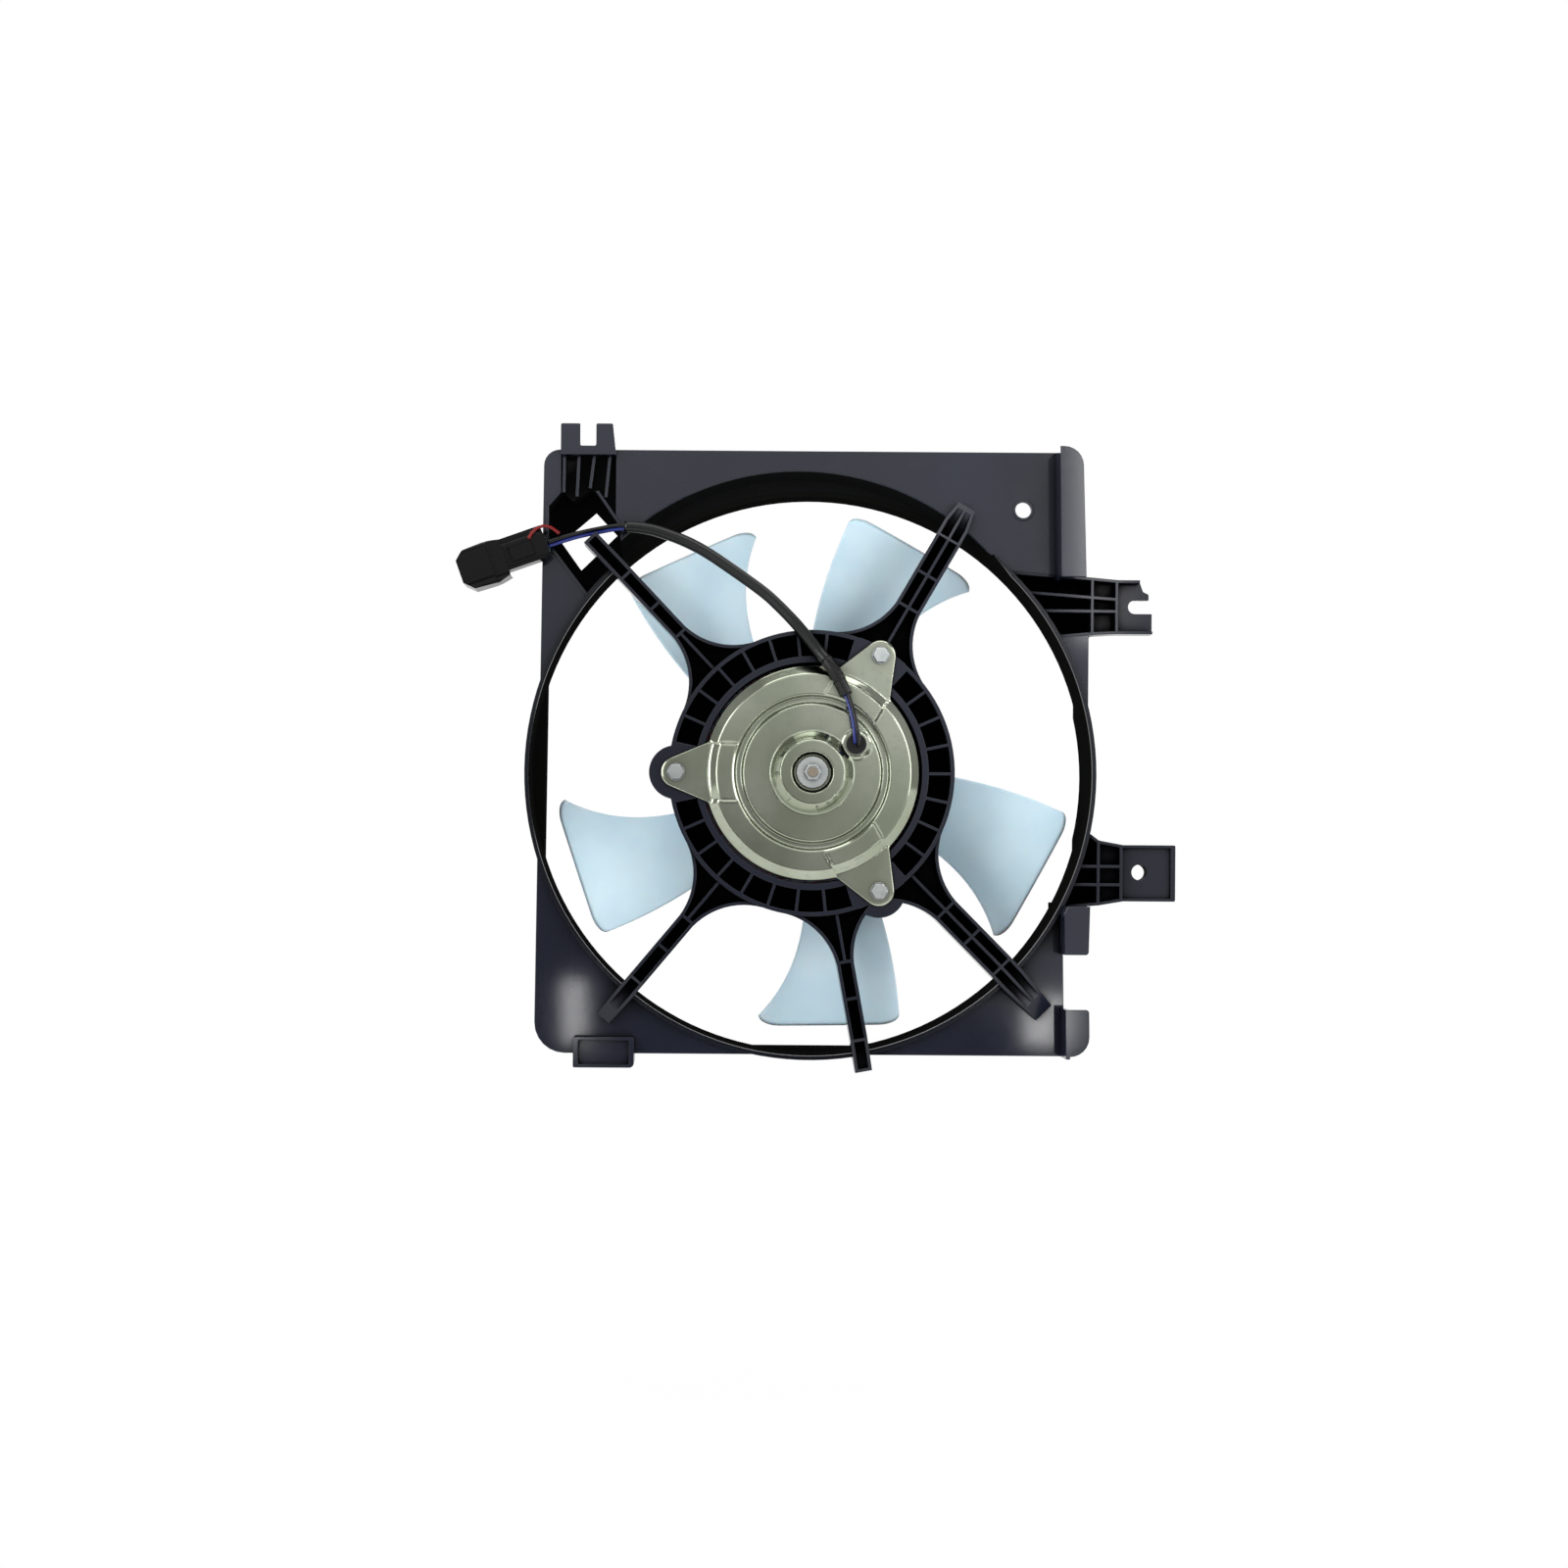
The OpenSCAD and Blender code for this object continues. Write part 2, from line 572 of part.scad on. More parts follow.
module motor_carrier() color(black) upright() difference() {
    union() {
        rod(hub_r, hub_low, carrier_rise);
        for (a = arms) arm_body(a);
        rotate([0, 0, window_angle])
            translate([ring_r + recess_wall + touch, -leg_half, recess_floor + wall])
                cube([leg_reach, 2 * leg_half, rim_rise + 1 - recess_floor - wall]);
        for (s = screw_angles) translate(polar(screw_circle_r, s)) rod(lobe_r, hub_low, carrier_rise);
    }
    rod(hub_bore_r, hub_low - 1, carrier_rise + 1);
    hub_cells();
    for (a = arms) arm_pocket(a);
    for (s = screw_angles) translate(polar(screw_circle_r, s)) {
        rod(insert_r, carrier_rise - insert_h, carrier_rise + 1);
        rod(screw_r + touch, hub_low - 1, carrier_rise);
    }
}

module screw_inserts() color(brass) upright()
    for (s = screw_angles) translate(polar(screw_circle_r, s))
        tube(insert_r, screw_r, carrier_rise - insert_h, carrier_rise);

// Motor housing

cover_top = carrier_rise + 5;                 // engine side of the cover's flat
under = cover_top - sheet;                    // underside of the flat
dome_top = cover_top + 6.8;
recess_top = cover_top + 3.4;                 // floor of the recess in the dome
ear_joggle = 57;                              // where an ear starts to step down
ear_half = 20.3;
ear_tip = 92.7;
can_low = under - can_h - sheet;              // radiator side of the can
nose_h = 8;
nose_r = 10.5;
thrust_r = 3;
grommet_at = [26.9, 17.6];
grommet_r = 6;
grommet_neck = 4.5;

module cover_profile() polygon([
    [thrust_r, recess_top], [11.6, recess_top], [12.9, dome_top], [19.8, dome_top],
    [25.7, cover_top], [42.2, cover_top], [43.4, cover_top - 1.8], [46.8, cover_top - 1.8],
    [48, cover_top], [cover_r - 1.8, cover_top], [cover_r, cover_top - 1.8],
    [cover_r, carrier_rise], [cover_r - sheet, carrier_rise],
    [cover_r - sheet, under - 0.8], [cover_r - sheet - 0.8, under], [48.8, under],
    [47.6, under - 1.8], [42.6, under - 1.8], [41.4, under], [26.6, under],
    [20.7, dome_top - sheet], [11.8, dome_top - sheet], [10.5, recess_top - sheet],
    [thrust_r, recess_top - sheet]]);

ear_tip_half = 6.7;                           // where its slanted edges meet its end
ear_tip_r = 9.2;
ear_plan = rounded([
    [ear_joggle - 3, -ear_half, 0], [ear_joggle + 1.5, -ear_half, 2],
    [ear_tip, -ear_tip_half, ear_tip_r], [ear_tip, ear_tip_half, ear_tip_r],
    [ear_joggle + 1.5, ear_half, 2], [ear_joggle - 3, ear_half, 0]]);

// An ear seen from its side, from the cover's flat down to the carrier
ear_side = [
    [ear_joggle - 3, cover_top], [ear_joggle, cover_top],
    [ear_joggle + 8.5, carrier_rise + sheet], [ear_tip + 1, carrier_rise + sheet],
    [ear_tip + 1, carrier_rise], [ear_joggle + 8, carrier_rise],
    [ear_joggle - 0.5, under], [ear_joggle - 3, under]];

module ear() difference() {
    intersection() {
        rotate([90, 0, 0]) translate([0, 0, -ear_half]) linear_extrude(2 * ear_half) polygon(ear_side);
        slab(carrier_rise - 1, cover_top + 1) polygon(ear_plan);
    }
    translate([screw_circle_r, 0, 0]) rod(screw_r, 0, cover_top);
}

module motor_cover() color(passivated) upright() {
    difference() {
        rotate_extrude() cover_profile();
        for (s = screw_angles) rotate([0, 0, s])
            translate([ear_joggle - 2, -ear_half, carrier_rise - 1]) cube([20, 2 * ear_half, 10]);
        translate(grommet_at) rod(grommet_neck, under - 1, cover_top + 1);
    }
    for (s = screw_angles) rotate([0, 0, s]) ear();
}

module motor_can() color(steel) upright() rotate_extrude() polygon([
    [shaft_r + 0.6, can_low - nose_h], [nose_r, can_low - nose_h], [nose_r, can_low],
    [can_r - 4.5, can_low], [can_r, can_low + 4.5], [can_r, under], [can_r - sheet, under],
    [can_r - sheet, can_low + 5.2], [can_r - 5.2, can_low + sheet],
    [nose_r - sheet - 0.9, can_low + sheet], [nose_r - sheet - 0.9, can_low - nose_h + sheet],
    [shaft_r + 0.6, can_low - nose_h + sheet]]);

bush_r = nose_r - sheet - 0.9;
rear_bush_r = 9;
rear_bush_h = 6;

module front_bush() color(copper) upright()
    tube(bush_r, shaft_r + shaft_play, can_low - nose_h + sheet, can_low + sheet);

module rear_bush() color(copper) upright()
    tube(rear_bush_r, shaft_r + shaft_play, recess_top - sheet - rear_bush_h, recess_top - sheet);

retainer_t = 1;

module bush_retainers() color(steel) upright() {
    tube(20, bush_r, can_low + sheet, can_low + sheet + retainer_t);
    // The rear one grips inside the dome, where its cone has this radius
    let (low = under + 1, dome_r = blend(26.6, 20.7, (1 + retainer_t) / (dome_top - sheet - under)))
        tube(dome_r, rear_bush_r, low, low + retainer_t);
}

module oil_felts() color([0.75, 0.7, 0.55]) upright() {
    tube(12, shaft_r + 0.6, can_low + sheet + retainer_t, can_low + sheet + retainer_t + 1.8);
    tube(13, rear_bush_r, under - 1.4, under + 1);
}

magnet_t = 8.6;
magnet_out = can_r - sheet;
magnet_in = magnet_out - magnet_t;
magnet_span = 70;
magnet_low = can_low + 5;
magnet_high = under - 10.4;

module magnets() color([0.2, 0.2, 0.21]) upright()
    for (a = [0:90:270]) rotate([0, 0, a - magnet_span / 2])
        translate([0, 0, magnet_low]) rotate_extrude(angle = magnet_span)
            translate([magnet_in, 0]) square([magnet_t, magnet_high - magnet_low]);

module magnet_clips() color(steel) upright()
    for (a = [45:90:315]) rotate([0, 0, a - 8])
        translate([0, 0, magnet_low]) rotate_extrude(angle = 16)
            translate([magnet_out - 1.2, 0]) square([1.2, magnet_high - magnet_low]);

// Brush gear

card_t = 1.6;
card_high = under - 3.6;
card_low = card_high - card_t;
commutator_r = 12;
brush_h = 3.6;
brush_w = 5.4;
brush_gap = 0.15;                             // play of a brush in its tube
brush_len = 13.7;
tube_wall = 0.6;
tube_from = 15;
tube_to = 36;
brush_in = commutator_r + touch;
brush_mid = card_low - tube_wall - brush_gap - brush_h / 2;

module brush_card() color([0.45, 0.3, 0.15]) upright()
    tube(magnet_out, commutator_r + 1.5, card_low, card_high);

module brush_tube() difference() {
    translate([tube_from, -brush_w / 2 - brush_gap - tube_wall, brush_mid - brush_h / 2 - brush_gap - tube_wall])
        cube([tube_to - tube_from, brush_w + 2 * (brush_gap + tube_wall), brush_h + 2 * (brush_gap + tube_wall)]);
    translate([tube_from - 1, -brush_w / 2 - brush_gap, brush_mid - brush_h / 2 - brush_gap])
        cube([tube_to - tube_from + 1 - tube_wall, brush_w + 2 * brush_gap, brush_h + 2 * brush_gap]);
}

module brush_tubes() color(brass) upright() for (a = [0, 180]) rotate([0, 0, a]) brush_tube();

module brush() translate([brush_in, -brush_w / 2, brush_mid - brush_h / 2]) cube([brush_len, brush_w, brush_h]);

module brush_right() color([0.15, 0.15, 0.16]) upright() brush();
module brush_left() color([0.15, 0.15, 0.16]) upright() rotate([0, 0, 180]) brush();

// A brush spring fills the tube behind its brush
module brush_spring() translate([brush_in + brush_len, 0, brush_mid]) rotate([0, 90, 0])
    tube(1.7, 1.1, 0, tube_to - tube_wall - brush_in - brush_len);

module brush_spring_right() color(steel) upright() brush_spring();
module brush_spring_left() color(steel) upright() rotate([0, 0, 180]) brush_spring();

module choke_coils() color(copper) upright()
    for (a = [75, -105]) translate(polar(32, a)) tube(3.4, 1.6, card_low - 5, card_low);

// Motor fastenings

screw_len = 15;
head_r = 4.2;

module motor_screws() color(zinc) upright()
    for (s = screw_angles) translate(polar(screw_circle_r, s)) {
        rod(screw_r, carrier_rise + sheet - screw_len, carrier_rise + sheet + 2);
        hex(2 * head_r, carrier_rise + sheet + 1, carrier_rise + sheet + 4.4);
    }

module screw_washers() color(zinc) upright()
    for (s = screw_angles) translate(polar(screw_circle_r, s))
        tube(5.4, screw_r, carrier_rise + sheet, carrier_rise + sheet + 1);

thrust_washer_t = 1.2;
thrust_nut_h = 4;

module thrust_washer() color(zinc) upright()
    tube(9.5, thrust_r, recess_top, recess_top + thrust_washer_t);

module thrust_nut() color(zinc) upright() difference() {
    hex(9, recess_top + thrust_washer_t, recess_top + thrust_washer_t + thrust_nut_h);
    rod(thrust_r, recess_top, recess_top + 10);
}

module thrust_screw() color(brass) upright()
    rod(thrust_r, recess_top - sheet + touch, recess_top + thrust_washer_t + thrust_nut_h + 1.2);

module lead_grommet() color([0.12, 0.12, 0.12]) upright() translate(grommet_at) {
    rod(grommet_neck, under, cover_top);
    rod(grommet_r, cover_top, cover_top + 2.2);
    rod(grommet_r, under - sheet, under);
}

// Rotor

rotor_mid = (magnet_low + magnet_high) / 2;
core_r = magnet_in - air_gap;
core_h = 18;
core_low = rotor_mid - core_h / 2;
core_high = rotor_mid + core_h / 2;
slot_count = 12;
insulator_t = 0.8;
winding_low = 5;
winding_high = 4;
cup_floor_low = can_low - nose_h - 4;         // radiator side of the cup's floor
cup_floor_t = 2.5;
cup_wall = 2.5;
cup_high = hub_low - 2;
boss_r = 13;
insert_out = 8;
boss_low = cup_floor_low - 2;
boss_high = can_low - nose_h - 0.8;
pin_r = 1.25;
pin_at = (boss_low + boss_high) / 2;
fan_washer_t = 1.2;
fan_nut_h = 4.8;
shaft_low = boss_low - fan_washer_t - fan_nut_h - 0.8;
shaft_high = recess_top - sheet - 0.2;

module shaft() color(steel) upright() difference() {
    rod(shaft_r, shaft_low, shaft_high);
    translate([-20, 0, pin_at]) rotate([0, 90, 0]) cylinder(r = pin_r, h = 40);
}

module armature_core() color(steel) upright() difference() {
    rod(core_r, core_low, core_high);
    rod(shaft_r, core_low - 1, core_high + 1);
    for (k = [0:slot_count - 1]) rotate([0, 0, 360 / slot_count * k]) {
        translate([core_r - 10, -1.2, core_low - 1]) cube([11, 2.4, core_h + 2]);
        translate([core_r - 13, 0, 0]) rod(4, core_low - 1, core_high + 1);
    }
}

module core_insulators() color([0.75, 0.15, 0.1]) upright() {
    tube(core_r - 1, shaft_r, core_high, core_high + insulator_t);
    tube(core_r - 1, shaft_r, core_low - insulator_t, core_low);
}

// End turns of the windings, rounded over like the real coils
module end_turns(low, high) rotate_extrude() polygon([
    [15, low], [core_r - 2, low], [core_r - 2, high - 1.5], [core_r - 4, high],
    [17, high], [15, high - 1.5]]);

module armature_windings() color(copper) upright() {
    end_turns(core_high + insulator_t, core_high + insulator_t + winding_high);
    translate([0, 0, 2 * core_low]) mirror([0, 0, 1])
        end_turns(core_low + insulator_t, core_low + insulator_t + winding_low);
}

module commutator() color(copper) upright() difference() {
    union() {
        rod(commutator_r, core_high + insulator_t, card_high + 0.4);
        rod(commutator_r + 2, core_high + insulator_t, core_high + insulator_t + 2);
    }
    rod(shaft_r, core_high - 1, card_high + 2);
}

thrust_ring_r = 7;

module thrust_rings() color(brass) upright() {
    tube(thrust_ring_r, shaft_r, card_high + 0.4, recess_top - sheet - rear_bush_h - touch);
    tube(thrust_ring_r, shaft_r, boss_high, can_low - nose_h - touch);
}

// Fan

cup_ribs = 10;

module fan_cup() color(pale) upright() difference() {
    union() {
        rotate_extrude() polygon([
            [0, cup_floor_low], [cup_r - 8, cup_floor_low], [cup_r - 2.4, cup_floor_low + 2.4],
            [cup_r, cup_floor_low + 8], [cup_r, cup_high], [cup_r - cup_wall, cup_high],
            [cup_r - cup_wall, cup_floor_low + 8.6], [cup_r - 4.6, cup_floor_low + 4.4],
            [cup_r - 9, cup_floor_low + cup_floor_t], [0, cup_floor_low + cup_floor_t]]);
        rod(boss_r, boss_low, boss_high);
        for (k = [0:cup_ribs - 1]) rotate([0, 0, 360 / cup_ribs * k])
            translate([boss_r - 1, -rib_t / 2, cup_floor_low + 1]) cube([cup_r - cup_wall - boss_r, rib_t, 7]);
    }
    rod(insert_out, boss_low - 1, boss_high + 1);
}

module hub_insert() color(brass) upright() difference() {
    rod(insert_out, boss_low, boss_high);
    rod(shaft_r, boss_low - 1, boss_high + 1);
    translate([-20, 0, pin_at]) rotate([0, 90, 0]) cylinder(r = pin_r, h = 40);
}

module drive_pin() color(steel) upright()
    translate([-insert_out + 0.5, 0, pin_at]) rotate([0, 90, 0]) cylinder(r = pin_r, h = 2 * insert_out - 1);

module fan_washer() color(zinc) upright() tube(10, shaft_r, boss_low - fan_washer_t, boss_low);

module fan_nut() color(zinc) upright() difference() {
    hex(13, boss_low - fan_washer_t - fan_nut_h, boss_low - fan_washer_t);
    rod(shaft_r, 0, boss_low);
}

// Blades. Their spacing is uneven, as on the real fan, which keeps it from humming.
blade_at = [118.8, 65.4, -24.1, -85.2, -157.9];   // angles of the tips' middles
blade_sweep = 9.4;                              // the root stands this much further round
blade_sunk = 0.4;                             // depth of a root in the cup's wall
blade_high = hub_low - 3;                     // rise of a blade's high edge
tip_drop = 5;                                 // the low edge's tip is this much shorter
tip_round = 8;                                // radius of the tip's corners
tip_share = 0.16;                             // share of the width that each corner takes
low_turn = 1.8;                               // how late the low edge turns towards its tip
blade_camber = 2.5;
nu = 8;
nv = 16;

function blade_v(j) = (1 - cos(180 * j / nv)) / 2;
// The tip is cut straight across between its two rounded corners
function blade_end(v) =
    let (s = max(0, (abs(2 * v - 1) - 1 + 2 * tip_share) / (2 * tip_share)))
    (tip_r - tip_drop * (1 - v)) * cos(tip_angle / 2) / cos(tip_angle * (v - 0.5))
        - tip_round * (1 - sqrt(1 - 0.98 * s * s));
// Angle of a blade's point: u runs out along the blade and v across it, from its low edge
function blade_angle(at, u, v) =
    let (low = at + blend(blade_sweep - root_angle / 2, -tip_angle / 2, pow(u, low_turn)),
         high = at + blend(blade_sweep + root_angle / 2, tip_angle / 2, u))
    blend(low, high, v);
function blade_level(u, v) =
    blade_high - blade_rise * (1 - v) * blend(1, 0.85, u) + blade_camber * sin(180 * v);
function blade_points(at, lift) = [
    for (i = [0:nu]) for (j = [0:nv])
        let (u = i / nu, v = blade_v(j), r = blend(cup_r - blade_sunk, blade_end(v), u),
             a = blade_angle(at, u, v))
        [r * cos(a), r * sin(a), blade_level(u, v) - blade_camber + lift]];

module blade(at) {
    row = nv + 1;
    count = (nu + 1) * row;
    polyhedron(
        points = concat(blade_points(at, 0), blade_points(at, -blade_t)),
        faces = concat(
            [for (i = [0:nu - 1]) for (j = [0:nv - 1]) each [
                [i * row + j, i * row + j + 1, (i + 1) * row + j + 1],
                [i * row + j, (i + 1) * row + j + 1, (i + 1) * row + j]]],
            [for (i = [0:nu - 1]) for (j = [0:nv - 1]) each [
                [count + i * row + j, count + (i + 1) * row + j + 1, count + i * row + j + 1],
                [count + i * row + j, count + (i + 1) * row + j, count + (i + 1) * row + j + 1]]],
            [for (i = [0:nu - 1]) each [
                [i * row, (i + 1) * row, count + (i + 1) * row],
                [i * row, count + (i + 1) * row, count + i * row],
                [(i + 1) * row + nv, i * row + nv, count + i * row + nv],
                [(i + 1) * row + nv, count + i * row + nv, count + (i + 1) * row + nv]]],
            [for (j = [0:nv - 1]) each [
                [j + 1, j, count + j],
                [j + 1, count + j, count + j + 1],
                [nu * row + j, nu * row + j + 1, count + nu * row + j + 1],
                [nu * row + j, count + nu * row + j + 1, count + nu * row + j]]]));
}

module fan_blades() color(pale) upright() for (at = blade_at) blade(at);

// Lead: two wires from the grommet to the plug, in a sleeve for most of the way

plug_at = [-164, 141.6, 48];                  // where the wires enter the plug
plug_turn = 199.6;                            // direction of the plug's mouth
plug_half_h = 7.3;                            // half the height of the plug's body
wire_route = [
    [26.9, 17.6, 69.2], [26.9, 17.8, 71.6], [26.8, 19.6, 74], [26.4, 23, 75.4],
    [25.8, 27.4, 75.4], [24.9, 33, 74.4], [23.2, 40, 72.8], [20.6, 47.5, 71.6],
    [16.5, 56, 71.2], [12.1, 63.3, 70.7], [7.8, 69, 69.2], [3.5, 74.2, 67.2],
    [-3.5, 83, 65.7], [-11, 92, 64.8], [-20, 101.5, 63], [-29, 110, 61],
    [-41.5, 119.5, 58.6], [-52, 127, 56.6], [-62.5, 134.3, 54.6], [-72, 140, 52.8],
    [-81.5, 144.6, 51.3], [-90.5, 148, 50.4], [-99.5, 150.7, 49.8], [-108, 152, 49.5],
    [-116.5, 152.4, 49.4], [-124, 151.8, 49.2], [-131.5, 150.4, 48.8], [-139, 148.9, 48.4],
    [-147, 147, 48.1], [-155, 144.6, 48], [-160, 142.9, 48], plug_at];
sleeve_first = 7;                             // places on the route where the sleeve starts
sleeve_last = 24;                             // and ends
collar_first = 8;
collar_last = 10;
wire_aside = 1.3;                             // each wire's distance from the route
lead_ref = unit([1, 1, -1]);                  // a direction that the lead never takes

function along(p, i) = unit(p[min(i + 1, len(p) - 1)] - p[max(i - 1, 0)]);
function part_of(p, first, last) = [for (i = [first:last]) p[i]];

// Rings of points round a route, each ring square to it and its middle moved aside
function rings(path, r, aside, sides) = [
    for (i = [0:len(path) - 1])
        let (t = along(path, i), n = unit(cross(t, lead_ref)), b = cross(t, n))
        for (k = [0:sides - 1])
            path[i] + n * (aside + r * cos(360 * k / sides)) + b * r * sin(360 * k / sides)];

function skin(from, turns, sides, outwards) = [
    for (i = [0:turns - 2]) for (k = [0:sides - 1])
        let (a = from + i * sides + k, b = from + i * sides + (k + 1) % sides)
        outwards ? [a, a + sides, b + sides, b] : [b, b + sides, a + sides, a]];

module swept_wire(path, r, aside, sides = 8) {
    last = (len(path) - 1) * sides;
    polyhedron(points = rings(path, r, aside, sides), faces = concat(
        skin(0, len(path), sides, true),
        [[for (k = [0:sides - 1]) k], [for (k = [0:sides - 1]) last + sides - 1 - k]]));
}

module swept_tube(path, r, bore, sides = 10) {
    inner = len(path) * sides;
    last = (len(path) - 1) * sides;
    polyhedron(
        points = concat(rings(path, r, 0, sides), rings(path, bore, 0, sides)),
        faces = concat(
            skin(0, len(path), sides, true), skin(inner, len(path), sides, false),
            [for (k = [0:sides - 1]) let (n = (k + 1) % sides) each [
                [k, n, inner + n, inner + k],
                [last + n, last + k, inner + last + k, inner + last + n]]]));
}

module wire_blue() color([0.10, 0.18, 0.55]) upright() swept_wire(wire_route, wire_d / 2, wire_aside);
module wire_black() color([0.07, 0.07, 0.08]) upright() swept_wire(wire_route, wire_d / 2, -wire_aside);

sleeve_wall = 0.4;

module lead_sleeve() color([0.13, 0.13, 0.14]) upright()
    swept_tube(part_of(wire_route, sleeve_first, sleeve_last), sleeve_d / 2, sleeve_d / 2 - sleeve_wall);

module tape_collar() color([0.08, 0.08, 0.09]) upright()
    swept_tube(part_of(wire_route, collar_first, collar_last), sleeve_d / 2 + 0.7, sleeve_d / 2 + 0.02);

red_r = 1;
red_end = plug_at[2] + plug_half_h + red_r - 0.02;   // it rests on the plug beside its lock
red_route = [
    [-157, 148, 50.2], [-162, 151.4, 51.6], [-166.5, 152.2, 53], [-170.6, 150.4, 54.6],
    [-173.6, 147.2, 56], [-175.4, 143.8, red_end]];

module red_wire_end() color([0.7, 0.12, 0.1]) upright() swept_wire(red_route, red_r, 0);

// Plug, drawn with its wire end at the origin and its mouth along x

plug_len = 57;
plug_body_len = 40;
rear_half = 6;                                // half width where the wires enter
collar_from = 37;                             // the collar's back, with a lower shoulder behind it
shoulder_from = 27.7;
collar_half_h = 10.5;
shoulder_half_h = 8.8;
mouth_from = 43;
mouth_wall = 1.8;
latch_w = 4;                                  // latch rail along the plug's upper side
latch_len = 29;
latch_h = 9;
lock_len = 14;
lock_travel = 1.5;
lock_w = 9;
lock_h = 1.8;

module at_plug() translate(plug_at) rotate([0, 0, plug_turn]) children();

// A prism along the plug from x0 to x1 with a rounded outline in its cross-section
module plug_prism(x0, x1, half_w, half_h, r)
    translate([x0, 0, 0]) rotate([90, 0, 90]) linear_extrude(x1 - x0) polygon(rounded([
        [-half_w, -half_h, r], [half_w, -half_h, r], [half_w, half_h, r], [-half_w, half_h, r]]));

// The collar's plan, taken in by t: it narrows at its shoulder and at its mouth
module collar_plan(t, over = 0) let (w = collar_w / 2 - t)
    slab(-20, 20) polygon([
        [shoulder_from, 2.1 - w], [collar_from - 1, -w], [plug_len - 5.6, 1 - w],
        [plug_len + over, 6.3 - w], [plug_len + over, w - 6.3], [plug_len - 5.6, w - 1],
        [collar_from - 1, w], [shoulder_from, w - 2.1]]);

module plug_body() color(black) upright() at_plug() difference() {
    union() {
        intersection() {
            plug_prism(0, plug_body_len, plug_w / 2, plug_half_h, 2);
            slab(-20, 20) polygon([[0, -rear_half], [5, -plug_w / 2], [plug_body_len, -plug_w / 2],
                                   [plug_body_len, plug_w / 2], [5, plug_w / 2], [0, rear_half]]);
        }
        intersection() {
            union() {
                plug_prism(shoulder_from, plug_body_len, collar_w / 2, shoulder_half_h, 4);
                plug_prism(collar_from, plug_len, collar_w / 2, collar_half_h, 5);
            }
            collar_plan(0);
        }
        translate([1, -plug_w / 2 - latch_w, 3 - latch_h]) cube([latch_len, latch_w + 1, latch_h]);
    }
    intersection() {
        plug_prism(mouth_from, plug_len + 1, collar_w / 2 - mouth_wall, collar_half_h - mouth_wall, 3.5);
        collar_plan(mouth_wall, 1);
    }
    for (side = [-1, 1]) translate([-1, side * 3.1, 0]) rotate([0, 90, 0]) cylinder(r = 2.6, h = 10);
    for (side = [-1, 1]) translate([8, side * 3.1 - 1.4, -0.4]) cube([40, 2.8, 0.8]);
    translate([9, -lock_w / 2 - touch / 2, plug_half_h - lock_h]) cube([lock_len + lock_travel + touch, lock_w + touch, 5]);
}

module plug_lock() color([0.16, 0.165, 0.18]) upright() at_plug()
    translate([9 + touch / 2, -lock_w / 2, plug_half_h - lock_h]) cube([lock_len, lock_w, lock_h + 0.6]);

module plug_pins() color(brass) upright() at_plug()
    for (side = [-1, 1]) translate([9, side * 3.1 - 1.4, -0.4]) cube([43, 2.8, 0.8]);

module plug_seal() color([0.35, 0.1, 0.08]) upright() at_plug() difference() {
    intersection() {
        plug_prism(mouth_from, mouth_from + 2, collar_w / 2 - mouth_wall, collar_half_h - mouth_wall, 3.5);
        collar_plan(mouth_wall);
    }
    plug_prism(mouth_from - 1, mouth_from + 3, collar_w / 2 - 4.5, collar_half_h - 4.5, 2);
}

module wire_seals() color([0.1, 0.3, 0.35]) upright() at_plug()
    for (side = [-1, 1]) translate([0, side * 3.1, 0]) rotate([0, 90, 0]) cylinder(r = 2.6, h = 8.9);

shroud_box();
ring_duct();
side_flange();
upper_left_fork();
upper_right_bracket();
lower_right_bracket();
lower_foot();
motor_carrier();
screw_inserts();
motor_cover();
motor_can();
magnets();
magnet_clips();
rear_bush();
front_bush();
bush_retainers();
oil_felts();
brush_card();
brush_tubes();
brush_left();
brush_right();
brush_spring_left();
brush_spring_right();
choke_coils();
motor_screws();
screw_washers();
thrust_screw();
thrust_nut();
thrust_washer();
lead_grommet();
shaft();
armature_core();
armature_windings();
core_insulators();
commutator();
thrust_rings();
fan_cup();
fan_blades();
hub_insert();
drive_pin();
fan_nut();
fan_washer();
wire_blue();
wire_black();
lead_sleeve();
tape_collar();
plug_body();
plug_lock();
plug_seal();
wire_seals();
plug_pins();
red_wire_end();
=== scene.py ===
import math

import bpy
import numpy as np
from mathutils import Matrix, Vector


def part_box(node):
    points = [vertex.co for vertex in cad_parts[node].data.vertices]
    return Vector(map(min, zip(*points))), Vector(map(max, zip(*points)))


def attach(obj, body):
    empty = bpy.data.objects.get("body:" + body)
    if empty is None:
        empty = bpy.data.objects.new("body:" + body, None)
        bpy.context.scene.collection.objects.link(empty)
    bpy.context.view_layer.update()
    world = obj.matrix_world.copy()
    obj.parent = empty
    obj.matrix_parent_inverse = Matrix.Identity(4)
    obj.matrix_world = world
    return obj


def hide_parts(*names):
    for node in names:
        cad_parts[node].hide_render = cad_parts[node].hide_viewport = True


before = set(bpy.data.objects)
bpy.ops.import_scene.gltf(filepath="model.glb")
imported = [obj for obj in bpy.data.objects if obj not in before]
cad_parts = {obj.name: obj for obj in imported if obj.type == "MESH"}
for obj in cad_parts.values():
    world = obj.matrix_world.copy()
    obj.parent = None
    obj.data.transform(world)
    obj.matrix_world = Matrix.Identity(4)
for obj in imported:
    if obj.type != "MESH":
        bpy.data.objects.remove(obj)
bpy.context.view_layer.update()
print("frame loaded:", len(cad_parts), "nodes")

mm = 0.001
scene = bpy.context.scene

# The camera stands square to the fan, a little left of its axis and below it

